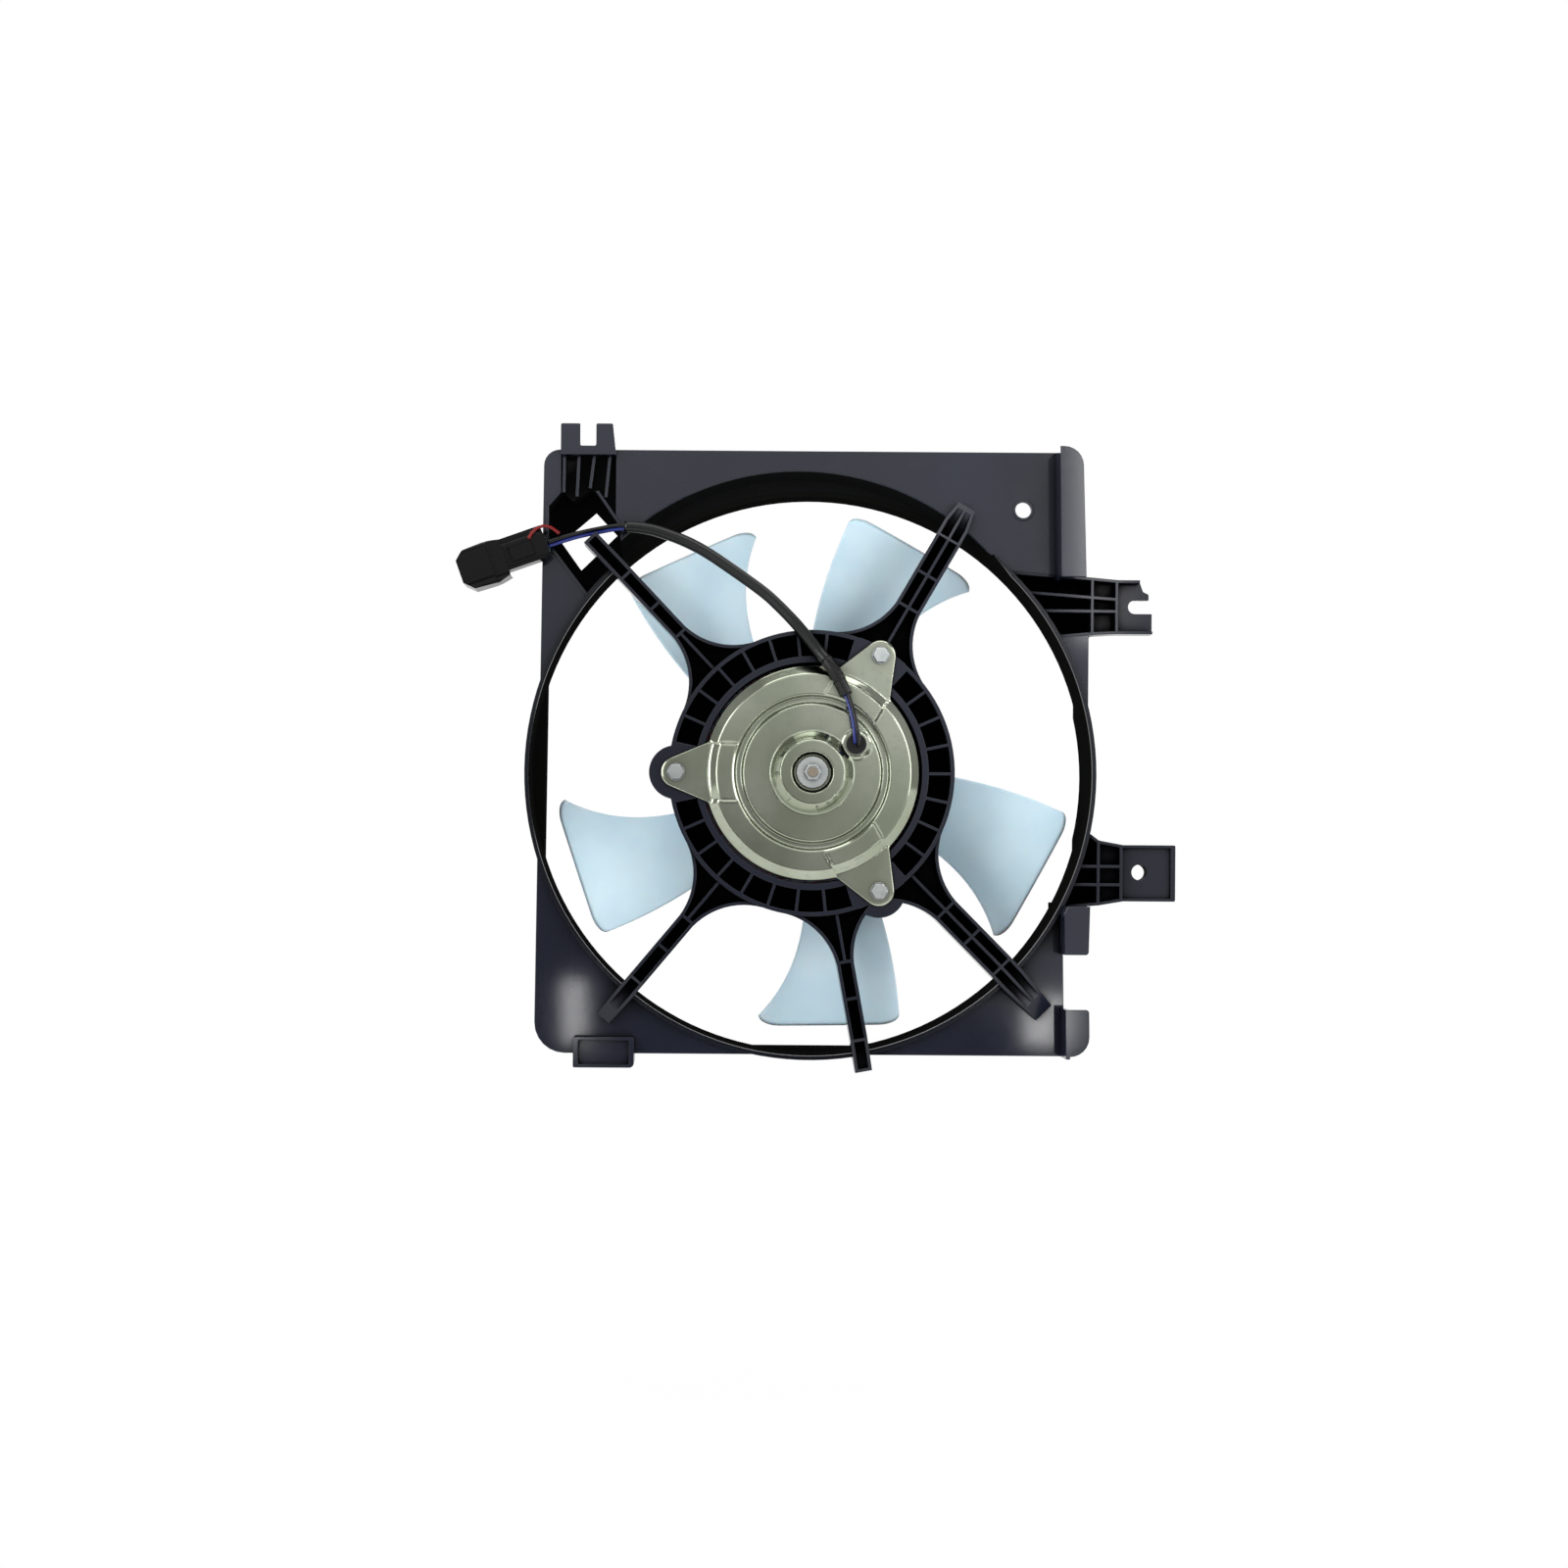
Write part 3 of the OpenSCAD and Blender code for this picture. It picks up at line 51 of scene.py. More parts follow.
camera = {
    "roll": 0.4,        # degrees, counter-clockwise seen from behind it
    "distance": 1.345,  # metres from the radiator plane
    "aside": (0.0669, 0.0561),  # how far it stands left of the fan's axis, and below it
    "shift": (0.0518, 0.0512),  # of the frame's width, as the photograph is framed
    "focal": 2131.0,    # pixels, for a picture 1600 pixels wide
    "picture": 1600.0,
    "sensor": 36.0,     # mm
}


def placeCamera():
    roll = math.radians(camera["roll"])
    ahead = Vector((0, 1, 0))
    right = Vector((math.cos(roll), 0, math.sin(roll)))
    up = right.cross(ahead)
    across, above = camera["aside"]
    place = -(right * across + up * above + ahead * camera["distance"])
    data = bpy.data.cameras.new("viewCamera")
    data.sensor_width = camera["sensor"]
    data.lens = camera["focal"] / camera["picture"] * camera["sensor"]
    data.shift_x, data.shift_y = camera["shift"]
    thing = bpy.data.objects.new("viewCamera", data)
    scene.collection.objects.link(thing)
    thing.matrix_world = Matrix((
        (right.x, up.x, -ahead.x, place.x),
        (right.y, up.y, -ahead.y, place.y),
        (right.z, up.z, -ahead.z, place.z),
        (0, 0, 0, 1)))
    scene.camera = thing


placeCamera()
print("camera placed")

# Shader maths: a Value wraps a socket, and the usual operators add its Math nodes


class Value:
    def __init__(self, paint, socket):
        self.paint, self.socket = paint, socket

    def calc(self, operation, *operands):
        return self.paint.node("ShaderNodeMath", {"operation": operation}, dict(enumerate(operands)))[0]

    def __add__(self, other): return self.calc("ADD", self, other)
    def __sub__(self, other): return self.calc("SUBTRACT", self, other)
    def __mul__(self, other): return self.calc("MULTIPLY", self, other)
    def __truediv__(self, other): return self.calc("DIVIDE", self, other)
    def __pow__(self, other): return self.calc("POWER", self, other)
    def __rsub__(self, other): return self.calc("SUBTRACT", other, self)
    __radd__ = __add__
    __rmul__ = __mul__

    def atMost(self, other):
        return self.calc("MINIMUM", self, other)

    def above(self, low, high):  # 0 at low, 1 at high, smooth between
        return self.paint.node("ShaderNodeMapRange", {"interpolation_type": "SMOOTHSTEP"},
                               {0: self, 1: low, 2: high, 3: 0.0, 4: 1.0})[0]


class Outputs:
    def __init__(self, paint, made):
        self.paint, self.made = paint, made

    def __getitem__(self, key):
        return Value(self.paint, self.made.outputs[key])


class Paint:
    def __init__(self, owner):
        self.owner = owner
        owner.use_nodes = True
        self.tree = owner.node_tree
        self.tree.nodes.clear()

    # A node of any type: its settings first, then the values or links of its sockets
    def node(self, kind, settings=None, inputs=None):
        made = self.tree.nodes.new(kind)
        for key, setting in (settings or {}).items():
            setattr(made, key, setting)
        for key, value in (inputs or {}).items():
            socket = made.inputs[key]
            if isinstance(value, Value):
                self.tree.links.new(value.socket, socket)
            elif isinstance(value, tuple) and socket.type == "RGBA":
                socket.default_value = (*value, 1)
            else:
                socket.default_value = value
        return Outputs(self, made)

    def place(self):
        return self.node("ShaderNodeTexCoord")["Object"]

    def noise(self, scale, detail=2.0, stretch=(1, 1, 1)):
        at = self.node("ShaderNodeMapping", {}, {"Vector": self.place(), "Scale": stretch})["Vector"]
        return self.node("ShaderNodeTexNoise", {}, {
            "Vector": at, "Scale": scale, "Detail": detail, "Roughness": 0.5})[0]

    def mix(self, share, a, b):
        return self.node("ShaderNodeMix", {"data_type": "RGBA"}, {0: share, 6: a, 7: b})[2]

    def bump(self, height, strength, depth, normal=None):
        inputs = {"Strength": strength, "Distance": depth, "Height": height}
        if normal is not None:
            inputs["Normal"] = normal
        return self.node("ShaderNodeBump", {}, inputs)["Normal"]

    def softEdges(self, radius):
        return self.node("ShaderNodeBevel", {"samples": 4}, {"Radius": radius})["Normal"]

    # How open a place is: 1 on a free face and near 0 at the bottom of a narrow pocket
    def openness(self, reach):
        return self.node("ShaderNodeAmbientOcclusion", {"samples": 6}, {"Distance": reach})["AO"]

    def shader(self, color, roughness, normal=None, **constants):
        inputs = {"Base Color": color, "Roughness": roughness}
        if normal is not None:
            inputs["Normal"] = normal
        inputs.update({key.replace("_", " "): value for key, value in constants.items()})
        return self.node("ShaderNodeBsdfPrincipled", {}, inputs)["BSDF"]

    def finish(self, shader):
        self.node("ShaderNodeOutputMaterial", {}, {"Surface": shader})
        return self.owner


def newPaint(name):
    return Paint(bpy.data.materials.new(name))


# Black moulding: flow marks run slowly through the colour, a fine grain breaks the sheen, and
# pockets that little light gets into carry painted shade: matte, darker and without reflection

moulding = {
    "dark": (0.0085, 0.0100, 0.0190), "pale": (0.0130, 0.0155, 0.0290),
    "dust": (0.04, 0.04, 0.045), "pocket": (0.0012, 0.0012, 0.0014),
    "under": (0.0050, 0.0050, 0.0042),        # painted shade on the walls round the air's way
    "flowNoise": (9, 3, (1, 1, 0.4)), "scuffNoise": (160, 4), "dustNoise": (40, 5),
    "flowFrom": 0.35, "flowTo": 0.7, "dustFrom": 0.56, "dustTo": 0.78, "dustShare": 0.12,
    "roughRange": 0.04, "scuffRange": 0.03, "grain": 1500.0, "grainBump": 0.015, "grainDepth": 0.0002,
    "deepRough": 0.35, "deepRange": 0.1, "deepScuff": 0.2,
    "edge": 0.0007, "reach": 0.030,
    "inwardFrom": 0.001, "inwardTo": 0.006,   # metres: how far a wall leans to the axis
    "frontFrom": 0.3, "frontTo": 0.6, "dullFrom": 240.0, "dullTo": 250.0,
}


def blackMoulding(name, rough=0.06, gloss=0.5, shade=1.0, pocket=(0.30, 0.72), low=None):
    p = newPaint(name)
    flow = p.noise(*moulding["flowNoise"])
    scuff = p.noise(*moulding["scuffNoise"])
    dust = p.noise(*moulding["dustNoise"]).above(moulding["dustFrom"], moulding["dustTo"])
    dark, pale = (tuple(shade * c for c in moulding[key]) for key in ("dark", "pale"))
    color = p.mix(flow.above(moulding["flowFrom"], moulding["flowTo"]), dark, pale)
    color = p.mix(dust * moulding["dustShare"] * shade, color, moulding["dust"])
    normal = p.bump(p.noise(moulding["grain"], 2), moulding["grainBump"], moulding["grainDepth"],
                    p.softEdges(moulding["edge"]))
    sheen = rough + moulding["roughRange"] * flow + moulding["scuffRange"] * scuff
    free = p.shader(color, sheen, normal, Specular_IOR_Level=gloss)
    # Painted shade: pockets, and with low the walls round the air's way, take a near-black, matte colour
    # without reflection
    under = moulding["under"] if low else moulding["pocket"]
    matte = moulding["deepRough"] + moulding["deepRange"] * scuff
    deep = p.shader(p.mix(scuff * moulding["deepScuff"], under, dark), matte, normal,
                    Specular_IOR_Level=0.0)
    # The painted shade is mixed in where little of the room is open to a point
    share = p.openness(moulding["reach"]).above(*pocket)
    if low:  # round the air's way, faces to the front and the axis get painted shade below these rises, in mm
        at = p.node("ShaderNodeSeparateXYZ", {}, {0: p.place()})
        facing = p.node("ShaderNodeSeparateXYZ", {}, {0: p.node("ShaderNodeTexCoord")["Normal"]})
        inward = (at["X"] * facing["X"] + at["Z"] * facing["Z"]) * -1
        radius = (at["X"] * at["X"] + at["Z"] * at["Z"]) ** 0.5 / mm
        leaning = inward.above(moulding["inwardFrom"], moulding["inwardTo"])
        forward = (facing["Y"] * -1).above(moulding["frontFrom"], moulding["frontTo"])
        near = 1 - radius.above(moulding["dullFrom"], moulding["dullTo"])
        paintedShadeWalls = (leaning + forward).atMost(1.0) * near
        share = share * (1 - paintedShadeWalls * (1 - (at["Y"] / -mm).above(*low)))
    return p.finish(p.node("ShaderNodeMixShader", {}, {0: share, 1: deep, 2: free})[0])


# Pale translucent moulding of the fan
def paleMoulding(name):
    p = newPaint(name)
    cloud = p.noise(18, 3)
    color = p.mix(cloud.above(0.3, 0.7), (0.47, 0.65, 0.74), (0.56, 0.73, 0.81))
    normal = p.bump(p.noise(900, 2), 0.06, 0.0002, p.softEdges(0.0007))
    return p.finish(p.shader(color, 0.30 + 0.12 * p.noise(60, 3), normal,
                             Subsurface_Weight=0.2, Subsurface_Scale=0.004, IOR=1.49))


# Sheet steel: colour clouds, small dark spots, fine marks of the drawing in two directions, and
# painted shade that darkens the creases against the open sheet
plate = {
    "cloudFrom": 0.3, "cloudTo": 0.7, "spots": (240, 4), "spotsFrom": 0.5, "spotsTo": 0.8,
    "spotShare": 0.25, "spotShade": 0.6, "creaseFrom": 0.35, "creaseTo": 0.95, "creaseShade": 0.2,
    "scratchDepth": 0.00005, "edge": 0.0004, "cloudRough": 0.08, "spotRough": 0.08,
}


def plateSteel(name, deep, bright, rough=0.3, cloudScale=22, scratch=0.10, paintedShadeReach=0.004):
    p = newPaint(name)
    cloud = p.noise(cloudScale, 4)
    spots = p.noise(*plate["spots"]).above(plate["spotsFrom"], plate["spotsTo"])
    color = p.mix(cloud.above(plate["cloudFrom"], plate["cloudTo"]), deep, bright)
    color = p.mix(spots * plate["spotShare"], color, tuple(plate["spotShade"] * c for c in deep))
    # Painted shade: creases that little light gets into are darkened
    freeOfPaintedShade = p.openness(paintedShadeReach).above(plate["creaseFrom"], plate["creaseTo"])
    color = p.mix(freeOfPaintedShade, tuple(plate["creaseShade"] * c for c in deep), color)
    marks = p.noise(1100, 2, (1, 1, 0.06)) * 0.5 + p.noise(1400, 2, (0.06, 1, 1)) * 0.5
    normal = p.bump(marks, scratch, plate["scratchDepth"], p.softEdges(plate["edge"]))
    sheen = rough + plate["cloudRough"] * cloud + plate["spotRough"] * spots
    return p.finish(p.shader(color, sheen, normal, Metallic=1.0))


def softPlain(name, color, rough, grain=900.0, sheen=0.1, coat=0.0, gloss=0.5):
    p = newPaint(name)
    cloud = p.noise(60, 3)
    shade = p.mix(cloud, tuple(0.8 * c for c in color), tuple(min(1, 1.2 * c) for c in color))
    normal = p.bump(p.noise(grain, 2), sheen, 0.0002, p.softEdges(0.0004))
    return p.finish(p.shader(shade, rough + 0.08 * cloud, normal, Coat_Weight=coat,
                             Specular_IOR_Level=gloss))


finishes = {
    "blackMoulding": blackMoulding("blackMoulding"),
    "boxMoulding": blackMoulding("boxMoulding", 0.03, low=(38.8, 39.7)),
    # The ring's copy is darker (shade 0.40) and less glossy: painted shade on the duct's walls
    "ringMoulding": blackMoulding("ringMoulding", 0.12, 0.30, 0.40, low=(43.0, 45.8)),
    "carrierMoulding": blackMoulding("carrierMoulding", 0.12, 0.40, 0.80, (0.42, 0.85)),
    "bracketMoulding": blackMoulding("bracketMoulding", 0.08, 0.32, 0.8, (0.42, 0.85)),
    "paleMoulding": paleMoulding("paleMoulding"),
    "passivated": plateSteel("passivated", (0.37, 0.41, 0.31), (0.52, 0.56, 0.46), 0.08, 16, 0.05,
                             0.012),
    "bareSteel": plateSteel("bareSteel", (0.42, 0.42, 0.43), (0.55, 0.55, 0.56), 0.34),
    "zincSteel": plateSteel("zincSteel", (0.66, 0.71, 0.71), (0.82, 0.86, 0.85), 0.12, 90, 0.04),
    "wornBrass": plateSteel("wornBrass", (0.36, 0.31, 0.24), (0.46, 0.40, 0.32), 0.2, 90),
    "brass": plateSteel("brass", (0.62, 0.44, 0.16), (0.80, 0.62, 0.28), 0.26, 90),
    "copper": plateSteel("copper", (0.62, 0.28, 0.14), (0.80, 0.42, 0.24), 0.3, 90),
    "bronze": plateSteel("bronze", (0.34, 0.20, 0.09), (0.46, 0.28, 0.14), 0.42, 90),
    "ferrite": softPlain("ferrite", (0.045, 0.045, 0.05), 0.5),
    "carbon": softPlain("carbon", (0.02, 0.02, 0.02), 0.42),
    "card": softPlain("card", (0.25, 0.13, 0.05), 0.4),
    "felt": softPlain("felt", (0.50, 0.44, 0.32), 0.9, 2500, 0.6),
    "fibre": softPlain("fibre", (0.36, 0.06, 0.04), 0.55),
    "rubber": softPlain("rubber", (0.006, 0.006, 0.007), 0.40, 1500, 0.15, 0.0, 0.3),
    "redRubber": softPlain("redRubber", (0.32, 0.05, 0.035), 0.5),
    "tealRubber": softPlain("tealRubber", (0.03, 0.18, 0.21), 0.45),
    "blueWire": softPlain("blueWire", (0.010, 0.022, 0.20), 0.26, 700, 0.05, 0.3),
    "blackWire": softPlain("blackWire", (0.004, 0.004, 0.005), 0.22, 700, 0.05, 0.0, 0.4),
    "redWire": softPlain("redWire", (0.20, 0.012, 0.012), 0.28, 700, 0.05, 0.0, 0.3),
    "sleeve": softPlain("sleeve", (0.004, 0.0045, 0.0045), 0.24, 800, 0.1, 0.0, 0.4),
    "tape": softPlain("tape", (0.004, 0.004, 0.005), 0.28, 500, 0.2, 0.0, 0.35),
    "plugPlastic": softPlain("plugPlastic", (0.0030, 0.0030, 0.0034), 0.12, 900, 0.03, 0.0, 0.16),
}

nodeFinish = {
    "blackMoulding": ("side_flange", "upper_left_fork", "lower_foot"),
    "boxMoulding": ("shroud_box",), "ringMoulding": ("ring_duct",),
    "bracketMoulding": ("upper_right_bracket", "lower_right_bracket"),
    "carrierMoulding": ("motor_carrier",),
    "brass": ("screw_inserts", "brush_tubes", "hub_insert", "plug_pins",
              "thrust_rings"),
    "wornBrass": ("thrust_screw",), "passivated": ("motor_cover",),
    "bareSteel": ("motor_can", "magnet_clips", "bush_retainers", "brush_spring_left",
                  "brush_spring_right", "shaft", "armature_core", "drive_pin"),
    "zincSteel": ("motor_screws", "screw_washers", "thrust_nut", "thrust_washer", "fan_nut",
                  "fan_washer"),
    "copper": ("choke_coils", "armature_windings", "commutator"),
    "bronze": ("rear_bush", "front_bush"),
    "ferrite": ("magnets",), "carbon": ("brush_left", "brush_right"), "card": ("brush_card",),
    "felt": ("oil_felts",), "fibre": ("core_insulators",), "rubber": ("lead_grommet",),
    "redRubber": ("plug_seal",), "tealRubber": ("wire_seals",),
    "paleMoulding": ("fan_cup", "fan_blades"), "plugPlastic": ("plug_body", "plug_lock"),
    "blueWire": ("wire_blue",), "blackWire": ("wire_black",), "redWire": ("red_wire_end",),
    "sleeve": ("lead_sleeve",), "tape": ("tape_collar",),
}
for finishName, nodes in nodeFinish.items():
    for node in nodes:
        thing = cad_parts[node]
        if not thing.material_slots:
            thing.data.materials.append(finishes[finishName])
        for holder in thing.material_slots:
            holder.material = finishes[finishName]
print("finishes on every CAD node")

# Surfaces worked out with numpy


# From the lying frame of the CAD source, in mm, to the standing one in metres
def standing(points):
    p = np.asarray(points, float)
    return np.stack([p[..., 0], -p[..., 2], p[..., 1]], -1) * mm


def newPiece(name, points, faces, finish, body="housing"):
    mesh = bpy.data.meshes.new(name)
    mesh.from_pydata(standing(points).reshape(-1, 3).tolist(), [], faces)
    mesh.polygons.foreach_set("use_smooth", np.full(len(mesh.polygons), True))
    piece = bpy.data.objects.new(name, mesh)
    scene.collection.objects.link(piece)
    mesh.materials.append(finishes[finish])
    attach(piece, body)
    return piece


# Faces of a grid of rows by columns, numbered from start, whose columns may close on themselves
def gridFaces(rows, columns, closed=True, start=0, turned=False):
    j = np.arange(columns if closed else columns - 1)
    i, j = np.meshgrid(np.arange(rows - 1), j, indexing="ij")
    k = (j + 1) % columns
    faces = np.stack([i * columns + j, i * columns + k, (i + 1) * columns + k, (i + 1) * columns + j], -1)
    faces = start + faces.reshape(-1, 4)
    return (faces[:, ::-1] if turned else faces).tolist()


def smoothStep(x, low, high):
    t = np.clip((x - low) / (high - low), 0, 1)
    return t * t * (3 - 2 * t)


# Heights of a broken line at x, its corners rounded by a weighted mean over a stretch each way
def roundedLine(x, line, stretch):
    along, heights = np.array(line, float).T
    offsets = np.linspace(-1, 1, 13)
    weights = 1 - offsets**2 * 0.9
    samples = np.interp(x[..., None] + offsets * stretch, along, heights)
    return (samples * weights).sum(-1) / weights.sum()


# The motor's end cover, pressed from one sheet

cover = {
    "profile": (  # radius, and height over the flat, in mm
        (3.0, 3.4), (11.3, 3.4), (12.6, 6.8), (19.6, 6.8), (25.6, 0), (42.0, 0), (43.5, -1.8),
        (46.5, -1.8), (48.0, 0), (60.4, 0), (66.0, -4.6)),
    "ear": ((50.0, 0), (58.8, 0), (63.4, -3.4), (99.0, -3.4)),
    "ears": (180.0, 60.0, -60.0),    # degrees
    "tipCentre": 83.5, "tipRadius": 9.2, "base": (58.5, 20.3),
    "earTurn": (16.0, 17.4),         # degrees off an ear's middle, where it joins the skirt
    "pad": 0.55, "padHalf": 17.6,    # the raised land from the groove out to each ear
    "grommet": (26.9, 17.6), "land": 8.6, "landHeight": 0.7,
    "padBlend": 0.5, "landBlend": 0.6,
    "domeTop": 6.8, "stretch": 0.55, "sheet": 1.6, "rim": 66.0, "split": 57.0,
    "outerRows": 32, "step": 2.0, "fineStep": 0.8,
}


# The outline's radius: a skirt all round, and at each ear the line that runs from the ear's
# base to touch the circle at its tip, then that circle
def coverReach(turn):
    c, r = cover["tipCentre"], cover["tipRadius"]
    bx, by = cover["base"]
    away = math.atan2(by, bx - c)
    slant = away - math.acos(r / math.hypot(bx - c, by))
    touch = math.atan2(r * math.sin(slant), c + r * math.cos(slant))
    t = np.abs(turn)
    line = (c * math.cos(slant) + r) / np.cos(np.minimum(t, 0.6) - slant)
    circle = c * np.cos(t) + np.sqrt(np.maximum(r**2 - (c * np.sin(t))**2, 0))
    ear = np.where(t < touch, circle, line)
    return np.where(t < math.atan2(by, bx), np.maximum(ear, cover["rim"]), cover["rim"])


# Height of the sheet at a radius and angle: the turned profile, blended into the stepped ear
# near each ear's middle, with a raised land inside each ear and one round the lead's hole
def coverHeight(radius, turn, angle):
    plain = roundedLine(radius, cover["profile"], cover["stretch"])
    ear = roundedLine(radius, cover["ear"], cover["stretch"])
    inner, outer = np.radians(cover["earTurn"])
    onEar = 1 - smoothStep(np.abs(turn), inner, outer)
    height = np.where(radius > cover["split"] - 4, plain * (1 - onEar) + ear * onEar, plain)
    aside = np.abs(radius * np.sin(turn))
    half, blend = cover["padHalf"], cover["padBlend"]
    pad = (1 - smoothStep(aside, half - blend, half + blend)) * (np.cos(turn) > 0)
    pad = pad * smoothStep(radius, 48.0, 49.2) * (1 - smoothStep(radius, 58.0, 60.0))
    height = height + cover["pad"] * pad
    gx, gy = cover["grommet"]
    near = np.hypot(radius * np.cos(angle) - gx, radius * np.sin(angle) - gy)
    onLand = 1 - smoothStep(near, cover["land"] - cover["landBlend"], cover["land"] + cover["landBlend"])
    return height * (1 - onLand) + cover["landHeight"] * onLand


def makeCover():
    top = -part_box("motor_cover")[0][1] / mm - cover["domeTop"]
    middles = np.array(cover["ears"])
    fine = np.arange(-23, 23.01, cover["fineStep"])
    angles = np.concatenate([np.arange(0, 360, cover["step"]), (middles[:, None] + fine).ravel() % 360])
    angles = np.unique(np.round(angles, 2))
    angles = angles[np.append(np.diff(angles) > 0.25, True)]
    turn = angles[:, None] - middles
    turn = (turn + 180) % 360 - 180
    turn = np.radians(turn[np.arange(len(angles)), np.abs(turn).argmin(1)])
    angle = np.radians(angles)
    knots = np.array([r for r, _ in cover["profile"]])
    near = (knots[:, None] + np.arange(-1.6, 1.61, 0.4)).ravel()
    inner = np.unique(np.round(np.concatenate([np.arange(3, cover["split"], 1.5), near]), 2))
    inner = inner[(inner >= 3) & (inner < cover["split"])]
    share = np.linspace(0, 1, cover["outerRows"])[:, None] ** 1.6
    outer = cover["split"] + (coverReach(turn)[None] - cover["split"]) * share
    radius = np.vstack([np.broadcast_to(inner[:, None], (len(inner), len(angles))), outer])
    height = coverHeight(radius, turn[None], angle[None])
    points = np.stack([radius * np.cos(angle), radius * np.sin(angle), top + height], -1)
    piece = newPiece("coverPressing", points, gridFaces(len(radius), len(angles), turned=True),
                     "passivated")
    wall = piece.modifiers.new("wall", "SOLIDIFY")
    wall.thickness, wall.offset = cover["sheet"] * mm, -1
    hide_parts("motor_cover")


makeCover()
print("motor cover made")

# The fan's five blades

blades = {
    "middles": (118.8, 65.4, -24.1, -85.2, -157.9),  # degrees; uneven, so that it doesn't hum
    "root": 79.6, "tip": 167.1, "tipDrop": 5.0, "tipRound": 8.0, "tipShare": 0.16,
    "rootAngle": 30.8, "tipAngle": 32.3, "sweep": 9.4, "lowTurn": 1.8,
    "rise": 20.0, "riseAtTip": 0.85, "camber": 2.5, "thick": 2.0, "edge": 1.3,
    "rows": 34, "columns": 44,
}


# A blade on a grid, u out along it and v across from its low edge. Its edges are lines blended
# between the root's and the tip's angles, it rises along v, arches by a sine, and its thickness
# falls off on a quarter circle towards the edges.
def bladeGrid(middle, high):
    b = blades
    u = np.linspace(0, 1, b["rows"])[:, None] ** 0.92
    v = (1 - np.cos(np.pi * np.linspace(0, 1, b["columns"])))[None] / 2
    s = np.maximum(0, (np.abs(2 * v - 1) - 1 + 2 * b["tipShare"]) / (2 * b["tipShare"]))
    halfTip = math.radians(b["tipAngle"] / 2)
    end = ((b["tip"] - b["tipDrop"] * (1 - v)) * math.cos(halfTip) / np.cos(2 * halfTip * (v - 0.5))
           - b["tipRound"] * (1 - np.sqrt(1 - 0.98 * s * s)))
    radius = b["root"] + (end - b["root"]) * u
    rootLow, rootHigh = b["sweep"] - b["rootAngle"] / 2, b["sweep"] + b["rootAngle"] / 2
    low = rootLow + (-b["tipAngle"] / 2 - rootLow) * u ** b["lowTurn"]
    far = rootHigh + (b["tipAngle"] / 2 - rootHigh) * u
    angle = np.radians(middle + low + (far - low) * v)
    rise = (high - b["rise"] * (1 - v) * (1 + (b["riseAtTip"] - 1) * u)
            + b["camber"] * (np.sin(np.pi * v) - 1) - b["thick"] / 2)
    width = radius * np.radians(far - low)
    margin = np.minimum(np.minimum(v, 1 - v) * width, (end - radius) + 0 * v) / b["edge"]
    half = b["thick"] / 2 * np.sqrt(np.clip(1 - (1 - np.clip(margin, 0, 1))**2, 0, 1))
    return radius * np.cos(angle), radius * np.sin(angle), rise, half


def makeBlades():
    high = -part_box("fan_blades")[0][1] / mm
    rows, columns = blades["rows"], blades["columns"]
    points, faces = [], []
    for middle in blades["middles"]:
        x, y, rise, half = bladeGrid(middle, high)
        for side in (1, -1):
            faces += gridFaces(rows, columns, False, len(points) * rows * columns, side > 0)
            points.append(np.stack([x, y, rise + side * half], -1).reshape(-1, 3))
    piece = newPiece("fanBlades", np.array(points), faces, "paleMoulding", "rotor")
    weld = piece.modifiers.new("weld", "WELD")
    weld.merge_threshold = 0.02 * mm
    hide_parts("fan_blades")


makeBlades()
print("blades made")

# The lead: two wires from the motor's grommet to the plug, in a sleeve on most of their way

lead = {
    "route": (  # right of the axis, above it and rise from the radiator plane, in mm
        (26.9, 17.6, 69.2), (26.9, 17.8, 71.6), (26.8, 19.6, 73.9), (26.4, 23, 75.2),
        (25.8, 27.4, 75.2), (24.9, 33, 74.4), (23.2, 40, 72.8), (20.6, 47.5, 71.6),
        (16.5, 56, 71.2), (12.1, 63.3, 70.7), (7.8, 69, 69.2), (3.5, 74.2, 67.2),
        (-3.5, 83, 65.7), (-11, 92, 64.8), (-20, 101.5, 63), (-29, 110, 61),
        (-41.5, 119.5, 58.6), (-52, 127, 56.6), (-62.5, 134.3, 54.6), (-72, 140, 52.8),
        (-81.5, 144.6, 51.3), (-90.5, 148, 50.4), (-99.5, 150.7, 49.8), (-108, 152, 49.5),
        (-116.5, 152.4, 49.4), (-124, 151.8, 49.2), (-131.5, 150.4, 48.8), (-139, 148.9, 48.4),
        (-147, 147, 48.1), (-155, 144.6, 48), (-160, 142.9, 48), (-164, 141.6, 48)),
    "apart": 1.3, "wire": 2.4, "sleeve": 7.2, "between": 4,
    "sleevePoints": (7, 24), "collarPoints": (8, 10), "collarOver": 0.5,
}


# A smooth line through the points: a cubic between each two, with slopes from their neighbours
def smoothLine(points, between):
    p = np.asarray(points, float)
    before, after = np.vstack([2 * p[:1] - p[1:2], p[:-1]]), np.vstack([p[1:], 2 * p[-1:] - p[-2:-1]])
    slope = (after - before) / 2
    t = (np.arange(between) / between)[None, :, None]
    a, b, m, n = p[:-1, None], p[1:, None], slope[:-1, None], slope[1:, None]
    line = ((2 * t**3 - 3 * t**2 + 1) * a + (t**3 - 2 * t**2 + t) * m
            + (3 * t**2 - 2 * t**3) * b + (t**3 - t**2) * n)
    return np.vstack([line.reshape(-1, 3), p[-1:]])


# Two directions square to the line at each of its points
def leadFrame(line):
    along = np.gradient(line, axis=0)
    along /= np.linalg.norm(along, axis=1, keepdims=True)
    across = np.cross(along, np.array([1.0, 1.0, -1.0]))
    across /= np.linalg.norm(across, axis=1, keepdims=True)
    return across, np.cross(along, across)


routeLine = smoothLine(lead["route"], lead["between"])
routeAcross, routeUp = leadFrame(routeLine)


